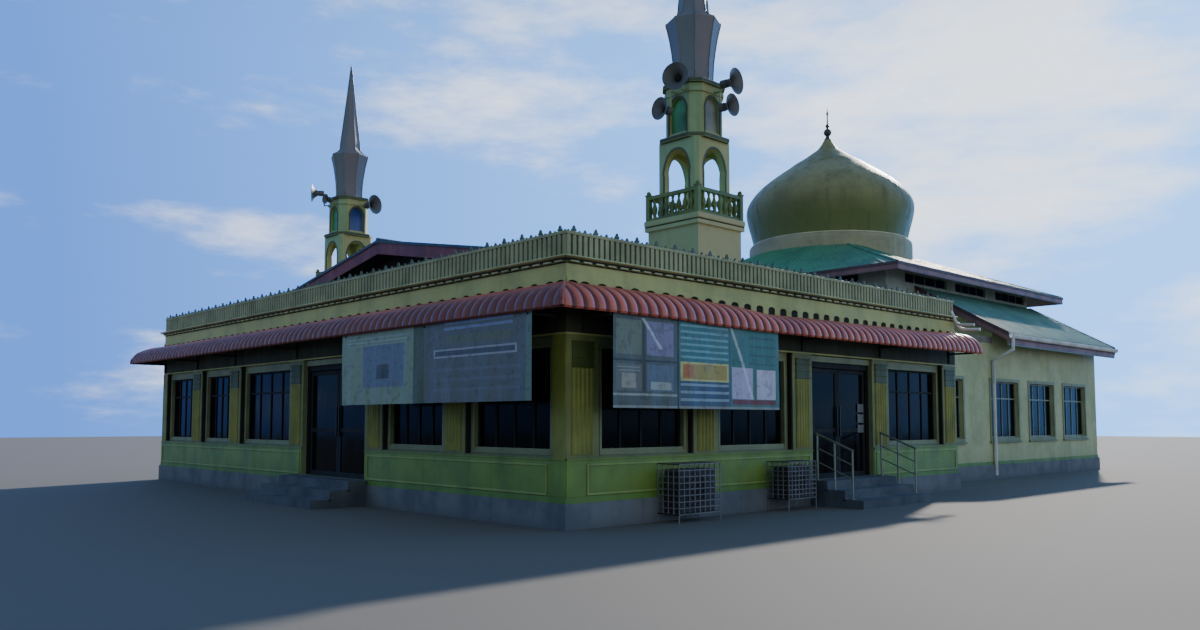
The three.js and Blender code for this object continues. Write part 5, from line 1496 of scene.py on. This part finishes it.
def minaret(word, centre):
    stone, dark, green = Shape(), Shape(), Shape()
    stone.stack(square, BASE_MOULDING, centre)
    dark.stack(chamfered(0.23), ARCH_CORNICE, centre)
    dark.stack(chamfered(0.18), LANTERN_CORNICE, centre)
    green.stack(chamfered(0.07), ARCH_FOOT, centre)
    for place in faces_of(centre).values():
        dark.place = place
        arched_border(dark, *ARCH, ARCH_BORDER, 0.515, 0.528)
        arched_border(dark, *NICHE, ARCH_BORDER, 0.47, 0.486)
    piece(f"minaret_{word}_mouldings", stone, "base", bevel=0.004)
    piece(f"minaret_{word}_cornices", dark, "cornice_dark")
    piece(f"minaret_{word}_arch_foot", green, "green")
    for name, place in faces_of(centre).items():
        panel = Shape(place)
        panel.plate(niche(*NICHE), 0.403, 0.411)
        # On the left minaret, the side niches take a dark blue that is painted shade
        side_shade = "niche_beige" if word == "right" else "niche_shade_blue"
        piece(f"minaret_{word}_niche_{name}", panel, "niche_green" if name in ("front", "rear") else side_shade)
    balustrade(word, centre)
    spire(word, centre)
    loudspeakers(word, centre)


def spire(word, centre):
    cx, cy = centre
    flare, seams = Shape(), Shape()
    flare.stack(circle(SPIRE_SIDES), smooth(SPIRE_CURVE, 3), centre)
    piece(f"minaret_{word}_spire_skin", flare, "spire", crease=24, replaces=(f"minaret_{word}_spire",))
    for x, y in circle(SPIRE_SIDES)(1.0):
        seams.tube([(cx + (r + 0.004) * x, cy + (r + 0.004) * y, z) for r, z in SPIRE_CURVE], 0.009, 6)
    piece(f"minaret_{word}_spire_seams", seams, "spire_seam")


def band_reach(heading):
    """Distance from the axis to the outside of the loudspeakers' clamp band at a heading in radians."""
    slant = (2 * BAND_HALF - BAND_CHAMFER) / math.sqrt(2)
    distances = []
    for i in range(8):
        share = math.cos(heading - math.pi / 4 * i)
        if share > 0:
            distances.append((slant if i % 2 else BAND_HALF) / share)
    return min(distances)


def loudspeakers(word, centre):
    cx, cy = centre
    horns, throats, arms = Shape(), Shape(), Shape()
    for heading, height, size in HORNS[word]:
        t = math.radians(heading)
        ahead = Vector((math.cos(t), math.sin(t), 0))
        side, up = Vector((-ahead.y, ahead.x, 0)), Vector((0, 0, 1))
        reach = band_reach(t)
        start = Vector((cx, cy, height)) + ahead * (reach + ARM_REACH)
        for shape, curve in ((horns, HORN_CURVE), (throats, THROAT_CURVE)):
            rows = []
            for radius, along in smooth([(r * size, z * size) for r, z in curve], 2):
                point = start + ahead * (along + 0.02)
                rows.append([tuple(point + x * side + y * up) for x, y in circle(HORN_SIDES)(radius)])
            shape.rows(rows, True, True)
        horns.tube([start - ahead * 0.012, start + ahead * 0.12 * size], 0.082, 18)
        root = Vector((cx, cy, ARM_HEIGHT))
        arms.tube([root + ahead * (reach - 0.01), root + ahead * (reach + ARM_REACH - 0.01)], 0.02)
        arms.tube([root + ahead * (reach + ARM_REACH - 0.02), start - ahead * 0.02], 0.02)
    arms.stack(chamfered(BAND_CHAMFER), BAND_SECTION, centre)
    piece(f"minaret_{word}_horns", horns, "horn", crease=45, replaces=(f"minaret_{word}_loudspeakers",))
    piece(f"minaret_{word}_horn_arms", arms, "minaret")
    # Painted shade: the throats are dark plugs that stand for the shade inside the horns
    piece(f"minaret_{word}_horn_throats", throats, "gap_shadow")


# Finishes of the model's own solids that stay in view

OWN_FINISHES = {
    "plinth": "plinth", "floor_slab": "floor", "side_steps": "steps", "front_steps": "steps",
    "roof_deck": "deck", "right_wall_front": "wall", "right_wall_rear": "wall", "left_wall": "wall",
    "front_wall_right": "wall", "front_wall_left": "wall",
    "side_door_frame": "dark_frame", "front_door_frame": "dark_frame",
    # The front gable solid's near-black is painted shadow in its recess
    "front_gable_roof": "gable", "lean_to_roof_right": "teal_blue", "lean_to_roof_left": "teal_blue",
    "upper_roof": "teal", "clerestory": "plaster", "hall_wall_right": "hall", "hall_wall_left": "hall",
    "hall_wall_rear": "hall", "hall_ring_beam": "plaster",
    "cross_frame_1": "plaster", "cross_frame_2": "plaster", "cross_frame_3": "plaster",
    "minaret_right_base": "base", "minaret_left_base": "base",
    "minaret_right_arches": "minaret", "minaret_left_arches": "minaret", "minaret_right_lantern": "minaret",
    "minaret_left_lantern": "minaret",
}


def dress_own_solids():
    for thing in bpy.data.objects:
        finish = OWN_FINISHES.get(thing.name)
        if finish and thing.type == "MESH":
            for slot in thing.material_slots:
                slot.material = FINISHES[finish]


# Plain floor, sky and lights around the building

STAGE_REACH = 90.0
SKY_STRENGTH = 3.0
SKY_LEFT = srgb(61, 104, 178)
SKY_RIGHT = srgb(109, 176, 255)
SKY_CLOUD = srgb(214, 220, 228)
CLOUD_TOWARD = (0.841, 0.430, 0.328)
CLOUD_SPREAD = (0.965, 0.995)
CLOUD_BANK = 0.26
CLOUD_SCALE = 3.4
CLOUD_FLATNESS = 3.2
CLOUD_EDGE = (0.52, 0.80)
CLOUD_COVER = 0.9
SKY_BEHIND = srgb(104, 119, 136)
SKY_TOP = srgb(72, 95, 122)
# Name, energy, angle across in degrees, colour, direction of travel
LAMPS = (("sun", 6.4, 2, (1.0, 0.93, 0.82), (-0.94, -0.34, -0.51)),
         ("ground_bounce", 0.7, 80, (1.0, 0.86, 0.62), (0.05, 0.9, 0.1)))


def stage():
    mesh = bpy.data.meshes.new("floor")
    mesh.from_pydata([(x, y, 0.0) for x, y in square(STAGE_REACH)], [], [(0, 1, 2, 3)])
    floor = bpy.data.objects.new("floor", mesh)
    finish = Finish("floor_stage", 0.9)
    finish.colour(srgb(94, 90, 84))
    mesh.materials.append(finish.material)
    bpy.context.scene.collection.objects.link(floor)


def sky_colour(sky):
    """Blue in front, with a bank of cloud towards the dome and thin wisps; darker behind and above."""
    def ramp(direction, low, high, first, second):
        return sky.mix(first, second, sky.span(sky.toward(direction), low, high, easing="LINEAR"))

    horizon = ramp((0.73, -0.69, 0.0), -0.5, 0.5, SKY_LEFT, SKY_RIGHT)
    bank = sky.span(sky.toward(CLOUD_TOWARD), *CLOUD_SPREAD, 0.0, CLOUD_BANK, "LINEAR")
    thick = sky.math("ADD", sky.noise(CLOUD_SCALE, (1.0, 1.0, CLOUD_FLATNESS), 7, 0.58), bank)
    cloudy = sky.mix(horizon, SKY_CLOUD, sky.span(thick, *CLOUD_EDGE, 0.0, CLOUD_COVER))
    around = ramp((0.69, 0.73, 0.0), -0.3, 0.4, SKY_BEHIND, cloudy)
    return ramp((0.0, 0.0, 1.0), 0.35, 0.8, around, SKY_TOP)


def lights():
    world = bpy.data.worlds.new("sky")
    bpy.context.scene.world = world
    world.use_nodes = True
    sky = Nodes(world.node_tree, "Generated")
    back = world.node_tree.nodes["Background"]
    back.inputs["Strength"].default_value = SKY_STRENGTH
    sky.feed(back.inputs["Color"], sky_colour(sky))
    for name, energy, angle, colour, travel in LAMPS:
        data = bpy.data.lights.new(name, "SUN")
        data.energy = energy
        data.angle = math.radians(angle)
        data.color = colour
        lamp = bpy.data.objects.new(name, data)
        lamp.rotation_euler = Vector(travel).to_track_quat("-Z", "Y").to_euler()
        bpy.context.scene.collection.objects.link(lamp)


make_camera()
dress_own_solids()
parapets()
canopies()
head_strip()
pilasters()
dado_and_windows()
doors()
steps()
handrails()
condensers()
banners()
front_gable()
lean_tos()
parapet_pipes()
clerestory()
hall_windows()
upper_roof()
dome()
for side_word, axis_place in MINARET_PLACES.items():
    minaret(side_word, axis_place)
stage()
lights()
